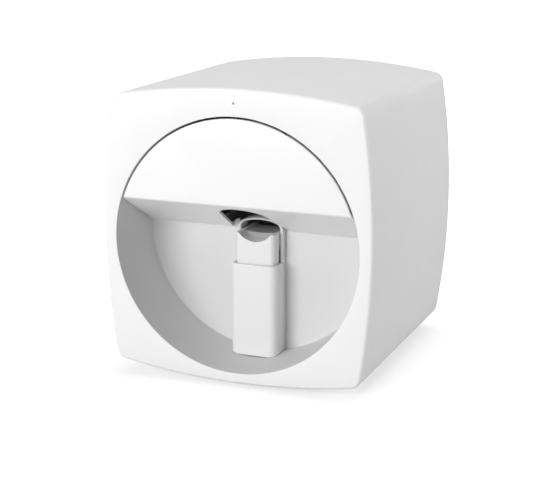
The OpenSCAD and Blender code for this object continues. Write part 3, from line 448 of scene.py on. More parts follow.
for turn in EAR_ANGLES:
    ear_x = EAR_RING_R * math.cos(math.radians(turn))
    ear_z = EAR_RING_R * math.sin(math.radians(turn))
    ears.append(turned_y("ear", [(1.6, 2.5), (1.6, COLLAR_LEN), (EAR_R, COLLAR_LEN), (EAR_R, 2.5)],
                         ear_x, ear_z, 40, closed=True))
bezel = gather("front_bezel_moulding", [bezel] + ears)
finish(bezel, front_white, "housing", "front_bezel", slot="white_trim")
# the faces inside the collar take the recess material, whose darker colour is painted shade
bezel.data.materials.append(recess_white)
collar_faces = 0
for face in bezel.data.polygons:
    reach = math.hypot(face.center.x, face.center.z - RECESS_HEIGHT * 0.001) * 1000
    depth = face.center.y * 1000 + BODY_DEPTH / 2
    if reach < OPENING_R + 0.05 and 0.4 < depth < COLLAR_LEN - 0.1:
        face.material_index = 1
        collar_faces += 1
print("collar faces in the bowl's matt finish:", collar_faces)
print("bezel:", len(bezel.data.polygons), "faces")

# %% [markdown]
# ## Housing
# The housing is one bowed tube from the bezel to the rear cover. A loft between outline rings
# gives its long smooth sides, with a small round where it meets each panel so that the seam
# shows as a fine line. Four bosses under the belly carry the feet.

# %% Housing
SEAM = 0.2
HOUSING_FRONT = PANEL_T + SEAM
HOUSING_BACK = BODY_DEPTH - PANEL_T - SEAM
SEAM_R = 0.5
housing_rings = ([outline_ring(inset, HOUSING_FRONT + d) for inset, d in rounded_rim(SEAM_R, steps=3)]
                 + [outline_ring(inset, HOUSING_BACK - d)
                    for inset, d in reversed(rounded_rim(SEAM_R, steps=3))]
                 + [outline_ring(WALL, HOUSING_BACK), outline_ring(WALL, HOUSING_FRONT)])
shell = loft("housing_moulding", housing_rings, closed=True)
FOOT_X, FOOT_YS, FOOT_R, FOOT_H = 75.0, (50.0, 190.0), 9.0, 5.0
TABLE_Z = -RECESS_HEIGHT
bosses = []
for foot_y in FOOT_YS:
    for side in (-1, 1):
        boss = [(FOOT_R + 0.9, TABLE_Z + FOOT_H), (FOOT_R + 1.5, TABLE_Z + FOOT_H + 0.6),
                (FOOT_R + 1.5, TABLE_Z + FOOT_H + 10)]
        bosses.append(turned_z("foot_boss", boss, side * FOOT_X, foot_y))
shell = gather("housing_moulding", [shell] + bosses)
finish(shell, housing_white, "housing", "housing_shell", slot="white_shell")
print("housing:", len(shell.data.polygons), "faces")

# %% [markdown]
# ## Recess bowl
# Behind the bezel sits a shallow bowl: a wall that closes in slightly with depth, and a flat
# back. It is turned like a pot, and then its upper part is cut off along the visor's slope,
# where the print chamber begins. The back also gets the cut-out for the finger tunnel.

# %% Recess bowl
BOWL_T = 2.5
FLANGE_R, FLANGE_T = 113.4, 3.0
SLOPE_REAR_Z = 2.0
CHORD_Z, NOSE_R = 37.1, 3.4
slope_run = RECESS_DEPTH - NOSE_R
slope_drop = CHORD_Z - SLOPE_REAR_Z
slope_fall = (slope_drop * slope_run - NOSE_R * math.sqrt(slope_drop ** 2 + slope_run ** 2 - NOSE_R ** 2)) / (
    slope_run ** 2 - NOSE_R ** 2)
slope_angle = math.degrees(math.atan(slope_fall))


def slope_z(y):
    """Height of the visor's sloped underside at a depth."""
    return SLOPE_REAR_Z + slope_fall * (RECESS_DEPTH - y)


PORTAL_HALF = 21.4
TUNNEL_CUT = PORTAL_HALF + 0.3
corner_fillet = [(r, y) for y, r in arc(RECESS_DEPTH - 1.6, RECESS_BACK_R - 1.6, 1.6, 90, 0, 6)]
bowl = turned_y("recess_bowl_moulding",
                [(wall_r(COLLAR_LEN), COLLAR_LEN)] + corner_fillet
                + [(60.0, RECESS_DEPTH), (0.01, RECESS_DEPTH), (0.01, RECESS_DEPTH + BOWL_T),
                   (RECESS_BACK_R + BOWL_T - 1, RECESS_DEPTH + BOWL_T),
                   (RECESS_BACK_R + BOWL_T, RECESS_DEPTH + BOWL_T - 1),
                   (wall_r(COLLAR_LEN + FLANGE_T) + BOWL_T, COLLAR_LEN + FLANGE_T),
                   (FLANGE_R, COLLAR_LEN + FLANGE_T), (FLANGE_R, COLLAR_LEN)], count=192, closed=True)
BOWL_CUT = 4.0
cut_front = COLLAR_LEN + FLANGE_T
upper_cut = swept_x("upper_cut", [(cut_front, slope_z(cut_front) + BOWL_CUT), (80, slope_z(80) + BOWL_CUT),
                                  (80, 130), (cut_front, 130)], -125, 125)
combine(bowl, "DIFFERENCE", upper_cut)
shoulders = []
for side in (-1, 1):
    shape = [(side * x, z) for x, z in
             ((TUNNEL_CUT, SLOPE_REAR_Z), (TUNNEL_CUT, 10), (26, 8.5), (30, 4.5), (30, SLOPE_REAR_Z))]
    shoulders.append(swept_y("shoulder", shape, RECESS_DEPTH, RECESS_DEPTH + BOWL_T))
combine(bowl, "UNION", *shoulders)
combine(bowl, "DIFFERENCE", block("tunnel_cut", (-TUNNEL_CUT, 60, -28.3), (TUNNEL_CUT, 70, 40)))
break_edges(bowl, 0.3, 2)
# the bowl's darker white is painted shade of the recess
finish(bowl, recess_white, "housing", "recess_bowl", slot="recess_white")
print("bowl:", len(bowl.data.polygons), "faces; slope falls", round(slope_angle, 1), "degrees")

# %% [markdown]
# ## Visor
# The lid over the top of the recess is a flat plate that turns round a soft nose into a sloping
# underside. One profile swept from side to side makes plate, nose and slope together. A turned
# plug, as wide as the opening allows at each depth, then trims it, and the arched notch over
# the finger is cut out last.

# %% Visor
VISOR_R, VISOR_T, SLOPE_T = 108.2, 3.0, 2.5
SIDE_GAP = 1.1
slope_rise = SLOPE_T / math.cos(math.radians(slope_angle))
rear_y = RECESS_DEPTH - 0.6
visor_profile = (arc(NOSE_R, CHORD_Z, NOSE_R, 180, 270 - slope_angle, 14)
                 + [(rear_y, slope_z(rear_y)), (rear_y, slope_z(rear_y) + slope_rise),
                    (VISOR_T + 2.2, slope_z(VISOR_T + 2.2) + slope_rise),
                    (VISOR_T, slope_z(VISOR_T) + slope_rise + 1.6),
                    (VISOR_T, 112), (0, 112)])
visor = swept_x("visor_moulding", visor_profile, -112, 112)
plug_edge = [(VISOR_R - inset, y) for inset, y in rounded_rim(0.6, steps=4)]
plug_turn = (OPENING_R - SIDE_GAP - VISOR_R) * RECESS_DEPTH / (OPENING_R - RECESS_BACK_R)
plug_rear_r = wall_r(rear_y) - SIDE_GAP
plug = turned_y("visor_plug", [(0.01, 0)] + plug_edge + [(VISOR_R, plug_turn), (plug_rear_r, rear_y),
                                                         (plug_rear_r, 70), (0.01, 70)], count=256)
combine(visor, "INTERSECT", plug)
NOTCH_APEX_Y, NOTCH_WIDE_Y, NOTCH_HALF, NOTCH_REAR_HALF, NOTCH_LEFT = 8.0, 28.0, 22.0, 27.0, 1.5
notch_shape = ([(NOTCH_HALF * math.cos(math.radians(a)), NOTCH_WIDE_Y - (NOTCH_WIDE_Y - NOTCH_APEX_Y)
                 * math.sin(math.radians(a))) for a in range(0, 181, 5)]
               + [(-NOTCH_REAR_HALF, RECESS_DEPTH + 1), (NOTCH_REAR_HALF, RECESS_DEPTH + 1)])
notch = swept_z("notch", [(x - NOTCH_LEFT, y) for x, y in notch_shape], -5, CHORD_Z - 0.8)
combine(visor, "DIFFERENCE", notch)
break_edges(visor, 0.35, 3)
finish(visor, front_white, "visor", "visor", slot="white_trim")
print("visor:", len(visor.data.polygons), "faces")

# %% [markdown]
# ## Finger sleeve
# The sleeve is a fixed column with rounded front corners, open at the back, whose foot follows
# the curve of the recess floor. The same plan outline is used at every height; only the lowest
# ring is bent, point by point, onto the floor.

# %% Finger sleeve
SLEEVE_HALF, SLEEVE_Y, SLEEVE_WALL, SLEEVE_CORNER, SLEEVE_RIM_Z = 21.5, 40.5, 2.6, 7.0, -24.8
PORTAL_Y = 57.9
sleeve_back = PORTAL_Y - 0.3


def front_rounded(half, y0, y1, r, steps=12):
    """Plan outline with two rounded front corners and a square back."""
    return ([(half, y1)] + arc(half - r, y0 + r, r, 0, -90, steps)
            + arc(r - half, y0 + r, r, -90, -180, steps) + [(-half, y1)])


def floor_z(x, y, clear=0.2):
    """Height of the recess floor under a point, less a clearance."""
    return -math.sqrt((wall_r(y) - clear) ** 2 - x ** 2)


inner_plan = front_rounded(SLEEVE_HALF - SLEEVE_WALL, SLEEVE_Y + SLEEVE_WALL, sleeve_back,
                           SLEEVE_CORNER - SLEEVE_WALL)
sleeve_plan = front_rounded(SLEEVE_HALF, SLEEVE_Y, sleeve_back, SLEEVE_CORNER) + list(reversed(inner_plan))
sleeve = loft("finger_sleeve_moulding", [[at(x, y, floor_z(x, y)) for x, y in sleeve_plan],
                                         [at(x, y, SLEEVE_RIM_Z) for x, y in sleeve_plan]])
break_edges(sleeve, 0.6, 4)
finish(sleeve, finger_white, "housing", "finger_sleeve", slot="finger_white")
print("sleeve:", len(sleeve.data.polygons), "faces")

# %% [markdown]
# ## Finger post
# The post slides in the sleeve on a spring and carries the finger. Its top is a round trough, so
# a cylinder is cut out of a solid with rounded front corners. The trough runs back through the
# arch. A soft grey pad lies in its rear half; its front face shows as a crescent.

# %% Finger post and pad
POST_HALF, POST_Y, POST_CORNER = 17.9, 44.6, 4.4
POST_BACK = PORTAL_Y - 1
POST_FOOT_Z, GUIDE_H = -62.0, 8.0
TROUGH_R, TROUGH_Z, TROUGH_TIP_Z, TROUGH_FLOOR_Z, TROUGH_END_Y = 19.0, -5.1, 2.0, -12.0, 86.0
post = swept_z("finger_post_moulding", front_rounded(POST_HALF, POST_Y, POST_BACK, POST_CORNER),
               POST_FOOT_Z, TROUGH_TIP_Z)
GUIDE_FIT = SLEEVE_WALL + 0.3
guide = swept_z("guide", front_rounded(SLEEVE_HALF - GUIDE_FIT, SLEEVE_Y + GUIDE_FIT, PORTAL_Y - 0.3,
                                       SLEEVE_CORNER - GUIDE_FIT), POST_FOOT_Z, POST_FOOT_Z + GUIDE_H)
saddle = block("saddle", (-POST_HALF, POST_BACK - 4, TROUGH_FLOOR_Z), (POST_HALF, TROUGH_END_Y, TROUGH_TIP_Z))
combine(post, "UNION", guide, saddle)
combine(post, "DIFFERENCE", turned_y("trough", [(TROUGH_R, 0), (TROUGH_R, 120)], 0, TROUGH_Z + TROUGH_R, 160))
break_edges(post, 0.5, 3)
finish(post, finger_white, "cradle", "finger_cradle", slot="finger_white")
PAD_Y, PAD_Z = 57.0, 0.5
pad = turned_y("cradle_pad_rubber", [(TROUGH_R - 0.06, PAD_Y), (TROUGH_R - 0.06, TROUGH_END_Y - 2)],
               0, TROUGH_Z + TROUGH_R, 160)
combine(pad, "INTERSECT", block("pad_box", (-19, PAD_Y - 1, TROUGH_Z - 1), (19, TROUGH_END_Y, PAD_Z + 0.6)))
combine(pad, "DIFFERENCE", turned_y("pad_dish", [(90, 0), (90, 120)], 0, PAD_Z + 90, 256))
break_edges(pad, 0.4, 3)
print("post:", len(post.data.polygons), "faces; pad:", len(pad.data.polygons), "faces")

# %% [markdown]
# ## Finger tunnel
# The arch behind the post is the mouth of a short tunnel. Its section is a horseshoe: a bowed
# top, two rounded shoulders and straight legs. The inner and outer line have the same number
# of points, so one list makes the horseshoe. In front its legs stand on the recess floor.

# %% Finger tunnel
PORTAL_TOP_Z, ARCH_BOW_R, ARCH_SHOULDER_R = 13.5, 47.5, 8.5
LEG_T, ARCH_T, TUNNEL_END_Y, TUNNEL_FOOT_Z = 3.1, 2.0, 74.0, -28.0


def arch_line(half, top, bow, shoulder, base):
    """From the foot of the right leg, over the top, to the foot of the left leg."""
    rise = math.sqrt((bow - shoulder) ** 2 - (half - shoulder) ** 2)
    lean = math.degrees(math.atan2(rise, half - shoulder))
    z = top - bow + rise
    return ([(half, base)] + arc(half - shoulder, z, shoulder, 0, lean, 14)
            + arc(0, top - bow, bow, lean, 180 - lean, 40)[1:]
            + arc(shoulder - half, z, shoulder, 180 - lean, 180, 14)[1:] + [(-half, base)])


def horseshoe(grow, base):
    """Closed section of the arch; grow moves both lines into the wall to round its mouth."""
    outer = arch_line(PORTAL_HALF - grow, PORTAL_TOP_Z - grow, ARCH_BOW_R - grow,
                      ARCH_SHOULDER_R - grow, base)
    inner = arch_line(PORTAL_HALF - LEG_T + grow, PORTAL_TOP_Z - ARCH_T + grow, ARCH_BOW_R - ARCH_T + grow,
                      ARCH_SHOULDER_R - 2.5 + grow, base)
    return outer + list(reversed(inner))


def leg_foot(x, y, z, base):
    """Foot points of the legs go down to the recess floor."""
    return floor_z(x, y) if z == base else z


MOUTH_R = 0.8
LEG_BASE = -90  # marks the foot points, which leg_foot puts on the floor
tunnel_rings = []
for inset, y in [(inset, PORTAL_Y + d) for inset, d in rounded_rim(MOUTH_R, steps=5)] + [(0, RECESS_DEPTH)]:
    tunnel_rings.append([at(x, y, leg_foot(x, y, z, LEG_BASE)) for x, z in horseshoe(inset, LEG_BASE)])
tunnel = loft("finger_tunnel_moulding", tunnel_rings)
rear_tunnel = swept_y("rear_tunnel", horseshoe(0, TUNNEL_FOOT_Z), RECESS_DEPTH - 2, TUNNEL_END_Y)
web_half = PORTAL_HALF - 1
web_floor = [(web_half * i / 3, floor_z(web_half * i / 3, PORTAL_Y + 2)) for i in range(-3, 4)]
web = swept_y("web", web_floor + [(web_half, -25.0), (-web_half, -25.0)], PORTAL_Y + 0.3, PORTAL_Y + 2)
combine(tunnel, "UNION", rear_tunnel, web)
for side in (-1, 1):
    low, high = sorted((side * (PORTAL_HALF - 1), side * (PORTAL_HALF + 8)))
    combine(tunnel, "UNION", block("tunnel_flange", (low, 69, TUNNEL_FOOT_Z),
                                   (high, TUNNEL_END_Y, TUNNEL_FOOT_Z + 2)))
break_edges(tunnel, 0.25, 2)
# the tunnel's darker white is painted shade
finish(tunnel, portal_white_painted_shade, "housing", "finger_tunnel", slot="finger_white")
print("tunnel:", len(tunnel.data.polygons), "faces")

# %% [markdown]
# ## Metals
# Bare metal gives itself away by how it was made: a ground rod has a fine haze, a turned pulley
# has rings, a screw head is brushed, and zinc plate has large pale crystals. One function sets
# the metal and its gloss, and each kind adds its own pattern. The patterns are stretched noise,
# which holds up close as well as far away.

# %% Finishes: metals


def bare_metal(name, colour, gloss_low, gloss_high, grain, stretch=(1, 1, 1), depth=0.01, strength=0.15):
    """A metal with a grain that may run along an axis."""
    material, tree, shader = start_material(name)
    shader.inputs["Metallic"].default_value = 1.0
    dark = tuple(c * 0.86 for c in colour)
    pattern = noise(tree, grain, 3, stretch)
    two_tone(tree, pattern, dark, colour, shader.inputs["Base Color"])
    spread(tree, noise(tree, grain * 0.4, 3, stretch), gloss_low, gloss_high, shader.inputs["Roughness"])
    bump(tree, shader, pattern, depth, strength)
    return material


screw_metal = bare_metal("brushed screw steel", (0.6, 0.6, 0.62), 0.25, 0.4, 900, (1, 1, 0.2))
pin_metal = bare_metal("dark pin steel", (0.06, 0.06, 0.065), 0.5, 0.62, 900, (0.2, 1, 1))
magnet_metal = bare_metal("nickel magnet plate", (0.72, 0.72, 0.73), 0.12, 0.25, 300)
spring_metal = bare_metal("drawn spring steel", (0.5, 0.5, 0.52), 0.28, 0.42, 1200, (1, 1, 0.3))
rod_y_metal = bare_metal("ground rod steel front to back", (0.76, 0.76, 0.78), 0.1, 0.2, 1400, (1, 0.06, 1))
rod_x_metal = bare_metal("ground rod steel across", (0.76, 0.76, 0.78), 0.1, 0.2, 1400, (0.06, 1, 1))
pulley_metal = bare_metal("turned pulley aluminium", (0.72, 0.72, 0.74), 0.22, 0.36, 700, (1, 0.15, 1))
bronze = bare_metal("sintered bronze", (0.62, 0.42, 0.2), 0.4, 0.6, 2200, depth=0.03, strength=0.4)
gold_plate = bare_metal("gold contact plate", (0.9, 0.66, 0.28), 0.18, 0.3, 500)


def zinc_sheet(name):
    """Plated sheet steel: flat crystals with slightly different tones and a passivated tint."""
    material, tree, shader = start_material(name)
    place = tree.nodes.new("ShaderNodeTexCoord")
    cells = tree.nodes.new("ShaderNodeTexVoronoi")
    cells.inputs["Scale"].default_value = 160
    tree.links.new(place.outputs["Object"], cells.inputs["Vector"])
    shader.inputs["Metallic"].default_value = 1.0
    two_tone(tree, cells.outputs["Color"], (0.45, 0.46, 0.48), (0.62, 0.63, 0.65),
             shader.inputs["Base Color"], 0.1, 0.9)
    spread(tree, cells.outputs["Distance"], 0.3, 0.48, shader.inputs["Roughness"], 0.0, 1.0)
    bump(tree, shader, noise(tree, 500, 3), 0.02, 0.2)
    return material


sheet_zinc = zinc_sheet("zinc plated sheet")
print("metals:", [m.name for m in bpy.data.materials if "steel" in m.name or "aluminium" in m.name])

# %% [markdown]
# ## Inner plastics, rubbers and coatings
# The parts nobody touches are made plainly: glass-filled black and grey plastic with a coarse
# matt grain, soft rubber, satin paint on the motors. Their colours are quiet, so that the eye
# stays with the white outside, and each still has its own grain size and gloss.

# %% Finishes: inner parts
slide_grey = moulded("grey slide plastic", (0.3, 0.33, 0.36), 0.45, 0.6,
                     grain=1300, grain_depth=0.03, strength=0.35, shift=0.03)
fan_black = moulded("black fan plastic", (0.05, 0.05, 0.055), 0.4, 0.55,
                    grain=1300, grain_depth=0.02, strength=0.3, shift=0.01)
switch_black = moulded("black switch plastic", (0.035, 0.035, 0.036), 0.3, 0.45,
                       grain=1500, grain_depth=0.02, strength=0.3, shift=0.008)
camera_black = moulded("matt black camera plastic", (0.05, 0.05, 0.05), 0.5, 0.65, grain=1600, shift=0.01)
cartridge_blue = moulded("dark blue cartridge plastic", (0.03, 0.04, 0.13), 0.16, 0.26,
                         grain=700, grain_depth=0.01, strength=0.1, shift=0.01)
latch_blue = moulded("blue latch plastic", (0.1, 0.26, 0.52), 0.22, 0.34,
                     grain=900, grain_depth=0.01, strength=0.15, shift=0.02)
pad_grey = moulded("soft grey pad rubber", (0.4, 0.4, 0.41), 0.6, 0.75,
                   grain=2400, grain_depth=0.03, strength=0.5, shift=0.03)
foot_rubber = moulded("dark foot rubber", (0.05, 0.05, 0.052), 0.7, 0.85,
                      grain=1700, grain_depth=0.05, strength=0.6, shift=0.015)
seal_rubber = moulded("black seal rubber", (0.02, 0.02, 0.02), 0.5, 0.65,
                      grain=2000, grain_depth=0.02, strength=0.4, shift=0.006)
belt_rubber = moulded("black belt rubber", (0.025, 0.025, 0.026), 0.6, 0.75,
                      grain=2600, grain_depth=0.04, strength=0.5, shift=0.008)
connector_white = moulded("natural connector nylon", (0.7, 0.68, 0.6), 0.35, 0.5, grain=1400, shift=0.02)
chip_black = moulded("black chip resin", (0.03, 0.03, 0.032), 0.4, 0.55,
                     grain=2600, grain_depth=0.03, strength=0.5, shift=0.006)


def painted_motor(name):
    """Satin black paint with the soft orange-peel ripple of a sprayed casting."""
    material, tree, shader = start_material(name)
    two_tone(tree, noise(tree, 40, 3), (0.03, 0.03, 0.032), (0.045, 0.045, 0.048),
             shader.inputs["Base Color"])
    spread(tree, noise(tree, 120, 3), 0.28, 0.42, shader.inputs["Roughness"])
    bump(tree, shader, noise(tree, 420, 1), 0.06, 0.35)
    shader.inputs["Coat Weight"].default_value = 0.3
    shader.inputs["Coat Roughness"].default_value = 0.2
    return material


def ruled_film(name):
    """Clear film with the fine dark rulings that the carriage counts."""
    material, tree, shader = start_material(name)
    place = tree.nodes.new("ShaderNodeTexCoord")
    lines = tree.nodes.new("ShaderNodeTexWave")
    lines.bands_direction = "X"
    lines.inputs["Scale"].default_value = 420
    tree.links.new(place.outputs["Object"], lines.inputs["Vector"])
    two_tone(tree, lines.outputs["Fac"], (0.06, 0.06, 0.07), (0.68, 0.7, 0.72),
             shader.inputs["Base Color"], 0.45, 0.55)
    spread(tree, noise(tree, 90, 2), 0.1, 0.2, shader.inputs["Roughness"])
    return material


def solder_mask(name):
    """Green board coating: copper runs show through as slightly raised, lighter paths."""
    material, tree, shader = start_material(name)
    place = tree.nodes.new("ShaderNodeTexCoord")
    runs = tree.nodes.new("ShaderNodeTexBrick")
    runs.inputs["Scale"].default_value = 90
    runs.inputs["Mortar Size"].default_value = 0.06
    runs.inputs["Color1"].default_value = (0.012, 0.1, 0.045, 1)
    runs.inputs["Color2"].default_value = (0.016, 0.12, 0.055, 1)
    runs.inputs["Mortar"].default_value = (0.035, 0.2, 0.1, 1)
    tree.links.new(place.outputs["Object"], runs.inputs["Vector"])
    tree.links.new(runs.outputs["Color"], shader.inputs["Base Color"])
    spread(tree, noise(tree, 200, 3), 0.22, 0.36, shader.inputs["Roughness"])
    bump(tree, shader, runs.outputs["Fac"], 0.04, 0.4)
    shader.inputs["Coat Weight"].default_value = 0.4
    return material


motor_paint = painted_motor("satin black motor paint")
strip_film = ruled_film("ruled encoder film")
board_green = solder_mask("green solder mask")
lens_glass = moulded("coated lens glass", (0.012, 0.012, 0.03), 0.04, 0.1,
                     grain=300, grain_depth=0.004, strength=0.05, shift=0.004)
lens_glass.node_tree.nodes["Principled BSDF"].inputs["Coat Weight"].default_value = 1.0
lamp_white = moulded("diffusing lamp plastic", (0.84, 0.84, 0.8), 0.3, 0.45, shift=0.02)
phosphor = moulded("yellow lamp phosphor", (0.85, 0.68, 0.12), 0.4, 0.55, grain=2600, shift=0.05)
print("materials:", len(bpy.data.materials))

# %% [markdown]
# ## Rear cover
# The back is closed by a plate with the same outline and the same rounded edge as the bezel. It
# carries what every appliance hides from view: a vent for the fan, an intake low down, and a
# sunken pocket for the power socket and its switch. Slots with round ends are how a moulder
# would cut them, because a square corner starts a crack.

# %% Rear cover
COVER_Y = BODY_DEPTH - PANEL_T
POCKET_X, POCKET_Z, POCKET_Y = (-86.0, -22.0), (-92.0, -62.0), BODY_DEPTH - 11
SOCKET_X, SWITCH_X, PORT_Z = -70.0, -42.0, -77.0
FAN_SIDE, FAN_T, FAN_Z, FAN_SCREW = 40.0, 10.0, 64.0, 16
FAN_Y = COVER_Y - 5 - FAN_T
FAN_BACK = FAN_Y + FAN_T
spigot_end = COVER_Y - SPIGOT_LEN + SEAM
cover_rings = ([outline_ring(inset, BODY_DEPTH - d) for inset, d in rim]
               + [outline_ring(0, COVER_Y), outline_ring(SPIGOT_OUT, COVER_Y),
                  outline_ring(SPIGOT_OUT, spigot_end), outline_ring(SPIGOT_IN, spigot_end),
                  outline_ring(SPIGOT_IN, COVER_Y)])
cover = loft("rear_cover_moulding", cover_rings)


def rounded_rect(x0, x1, z0, z1, r, steps=5):
    """A rectangle with rounded corners, in (across, height)."""
    return (arc(x1 - r, z1 - r, r, 0, 90, steps) + arc(x0 + r, z1 - r, r, 90, 180, steps)
            + arc(x0 + r, z0 + r, r, 180, 270, steps) + arc(x1 - r, z0 + r, r, 270, 360, steps))


pocket_wall = swept_y("pocket_wall", rounded_rect(POCKET_X[0] - 2.5, POCKET_X[1] + 2.5, POCKET_Z[0] - 2.5,
                                                  POCKET_Z[1] + 2.5, 4), POCKET_Y - 2.5, COVER_Y + 1)
combine(cover, "UNION", pocket_wall)
pocket_mouth = [rounded_rect(POCKET_X[0] - g, POCKET_X[1] + g, POCKET_Z[0] - g, POCKET_Z[1] + g, 2 + g)
                for g in (0, 0, 0.8)]
pocket_cut = loft("pocket_cut", [[at(x, y, z) for x, z in ring]
                                 for ring, y in zip(pocket_mouth,
                                                    (POCKET_Y, BODY_DEPTH - 0.8, BODY_DEPTH + 0.2))])
combine(cover, "DIFFERENCE", pocket_cut)
SOCKET_HOLE_R = 5.3
socket_hole = [(SOCKET_HOLE_R, POCKET_Y - 4), (SOCKET_HOLE_R, POCKET_Y + 2)]
combine(cover, "DIFFERENCE", turned_y("socket_hole", socket_hole, SOCKET_X, PORT_Z, 40))
combine(cover, "DIFFERENCE", block("switch_hole", (SWITCH_X - 10.8, POCKET_Y - 4, PORT_Z - 6.8),
                                   (SWITCH_X + 10.8, POCKET_Y + 2, PORT_Z + 6.8)))
print("rear cover blank:", len(cover.data.polygons), "faces")

# %% Rear cover: vents and screw holes
SCREW_X, SCREW_DZ = 102.0, 107.0
VENT_PITCH, VENT_W = 7.0, 3.0
vents = []
for i in range(-2, 3):
    reach = FAN_SIDE / 2 - 6 - abs(i) * 2.5
    z = FAN_Z + i * VENT_PITCH
    vents.append(rounded_rect(-reach, reach, z - VENT_W / 2, z + VENT_W / 2, 1.49))
for i in range(8):
    x = 10 + i * VENT_PITCH
    vents.append(rounded_rect(x, x + VENT_W, -92, -62, 1.49))
for shape in vents:
    combine(cover, "DIFFERENCE", swept_y("vent", shape, COVER_Y - 1, BODY_DEPTH + 1))
cover_screw_places = [(sx * SCREW_X, RECESS_DROP + sz * SCREW_DZ) for sx in (-1, 1) for sz in (-1, 1)]
for x, z in cover_screw_places:
    combine(cover, "DIFFERENCE", turned_y("screw_sink", [(3.0, BODY_DEPTH - 2), (3.0, BODY_DEPTH + 1)],
                                          x, z, 40))
    combine(cover, "DIFFERENCE", turned_y("screw_hole", [(1.6, 220), (1.6, BODY_DEPTH)], x, z, 32))
posts = [turned_y("fan_post", [(2.6, FAN_BACK), (2.6, COVER_Y + 0.5)], sx * FAN_SCREW,
                  FAN_Z + sz * FAN_SCREW, 32) for sx in (-1, 1) for sz in (-1, 1)]
combine(cover, "UNION", *posts)
break_edges(cover, 0.3, 2)
finish(cover, housing_white, "housing", "rear_cover", slot="white_shell")
print("rear cover:", len(cover.data.polygons), "faces,", len(vents), "vents")

# %% [markdown]
# ## Screws
# All the screws are one kind, a pan head with a cross. The same small function makes each one
# wherever its head faces: rings round the axis give the domed head and the shank, and two thin
# wedges cut the cross.

# %% Screws


def pan_screw(name, place, facing, head_r=2.8, head_t=2.0, shank_r=1.5, shank=10.0):
    """A pan head screw; place is the middle of the head's underside, facing where its head looks."""
    up = Vector(facing).normalized()
    side = up.orthogonal().normalized()
    across = up.cross(side)
    origin = at(*place)

    def ring(r, h, count=28):
        return [origin + (side * math.cos(t) + across * math.sin(t)) * r * 0.001 + up * h * 0.001
                for t in (2 * math.pi * i / count for i in range(count))]

    profile = [(shank_r * 0.5, -shank), (shank_r, -shank + 0.8), (shank_r, 0), (head_r, 0),
               (head_r, head_t * 0.45), (head_r * 0.93, head_t * 0.72), (head_r * 0.75, head_t * 0.92),
               (head_r * 0.5, head_t)]
    screw = loft(name, [ring(r, h) for r, h in profile])
    for a, b in ((side, across), (across, side)):
        low = [origin + (a * p * 1.45 + b * q * 0.32) * 0.001 + up * head_t * 0.45 * 0.001
               for p, q in ((-0.7, -1), (0.7, -1), (0.7, 1), (-0.7, 1))]
        high = [origin + (a * p * 1.75 + b * q * 0.42) * 0.001 + up * (head_t + 0.3) * 0.001
                for p, q in ((-1, -1), (1, -1), (1, 1), (-1, 1))]
        combine(screw, "DIFFERENCE", loft("cross", [low, high]))
    return screw


def screw_set(name, node, places, facing, shank, head_r=2.8):
    """Several screws of one kind as one piece."""
    piece = gather(name, [pan_screw("screw", place, facing, shank=shank, head_r=head_r) for place in places])
    return finish(piece, screw_metal, "housing", node, slot="screw_steel")


screw_set("cover_pan_screws", "cover_screws", [(x, BODY_DEPTH - 2.05, z) for x, z in cover_screw_places],
          (0, 1, 0), 17.9)
bowl_screw_places = [(EAR_RING_R * math.cos(math.radians(a)), COLLAR_LEN + FLANGE_T,
                      EAR_RING_R * math.sin(math.radians(a))) for a in EAR_ANGLES]
screw_set("bowl_pan_screws", "bowl_screws", bowl_screw_places, (0, 1, 0), 8)
screw_set("foot_pan_screws", "foot_screws",
          [(side * FOOT_X, y, TABLE_Z + 3) for y in FOOT_YS for side in (-1, 1)], (0, 0, -1), 12)
FRAME_SCREW_X, FRAME_SCREW_YS, FRAME_SCREW_Z = 96, (80, 192), -98
screw_set("frame_pan_screws", "frame_screws",
          [(side * FRAME_SCREW_X, y, FRAME_SCREW_Z) for y in FRAME_SCREW_YS for side in (-1, 1)],
          (0, 0, 1), 9)

# %% [markdown]
# ## Feet
# Each foot is a rubber button that widens slightly upwards, with a sunk hole for its screw. It is
# turned in one closed chain of rings that runs down the outside and back up through the hole.

# %% Feet
FOOT_NODES = {(-1, 50.0): "foot_front_left", (1, 50.0): "foot_front_right",
              (-1, 190.0): "foot_rear_left", (1, 190.0): "foot_rear_right"}
for (side, y), node in FOOT_NODES.items():
    profile = [(3.4, 0.3), (3.7, 0.0), (7.5, 0.0), (7.9, 0.15), (8.1, 0.5), (8.95, 4.6), (8.7, 5.0),
               (1.6, 5.0), (1.6, 3.0), (3.4, 3.0)]
    foot = turned_z(node + "_rubber", [(r, TABLE_Z + h) for r, h in profile], side * FOOT_X, y, 48,
                    closed=True)
    finish(foot, foot_rubber, "housing", node, slot="foot_rubber")
print("feet:", len(FOOT_NODES))

# %% [markdown]
# ## Power socket and switch
# The socket is a turned barrel with a rolled flange and a bright centre pin. The switch is a
# rocker in a black frame: the top of a drum with a shallow dish for the fingertip, tilted to one
# side. The tilt belongs to the rest position, and the rocker's own body turns it the other way.

# %% Power socket and switch
socket = turned_y("power_socket_barrel", [(0.01, POCKET_Y - 10), (5.0, POCKET_Y - 10), (5.0, POCKET_Y),
                                          (6.8, POCKET_Y),
                                          (6.8, POCKET_Y + 1.4), (6.5, POCKET_Y + 1.85), (6.0, POCKET_Y + 2),
                                          (3.4, POCKET_Y + 2), (2.95, POCKET_Y + 1.8), (2.8, POCKET_Y + 1.3),
                                          (2.8, POCKET_Y - 7), (0.01, POCKET_Y - 7)], SOCKET_X, PORT_Z, 48)
finish(socket, switch_black, "housing", "power_inlet", slot="switch_black")
pin = turned_y("power_socket_pin", [(0.01, POCKET_Y - 7.5), (1.0, POCKET_Y - 7.5), (1.0, POCKET_Y - 0.6),
                                    (0.8, POCKET_Y - 0.15), (0.4, POCKET_Y), (0.01, POCKET_Y)],
               SOCKET_X, PORT_Z, 24)
finish(pin, magnet_metal, "housing", slot="magnet")


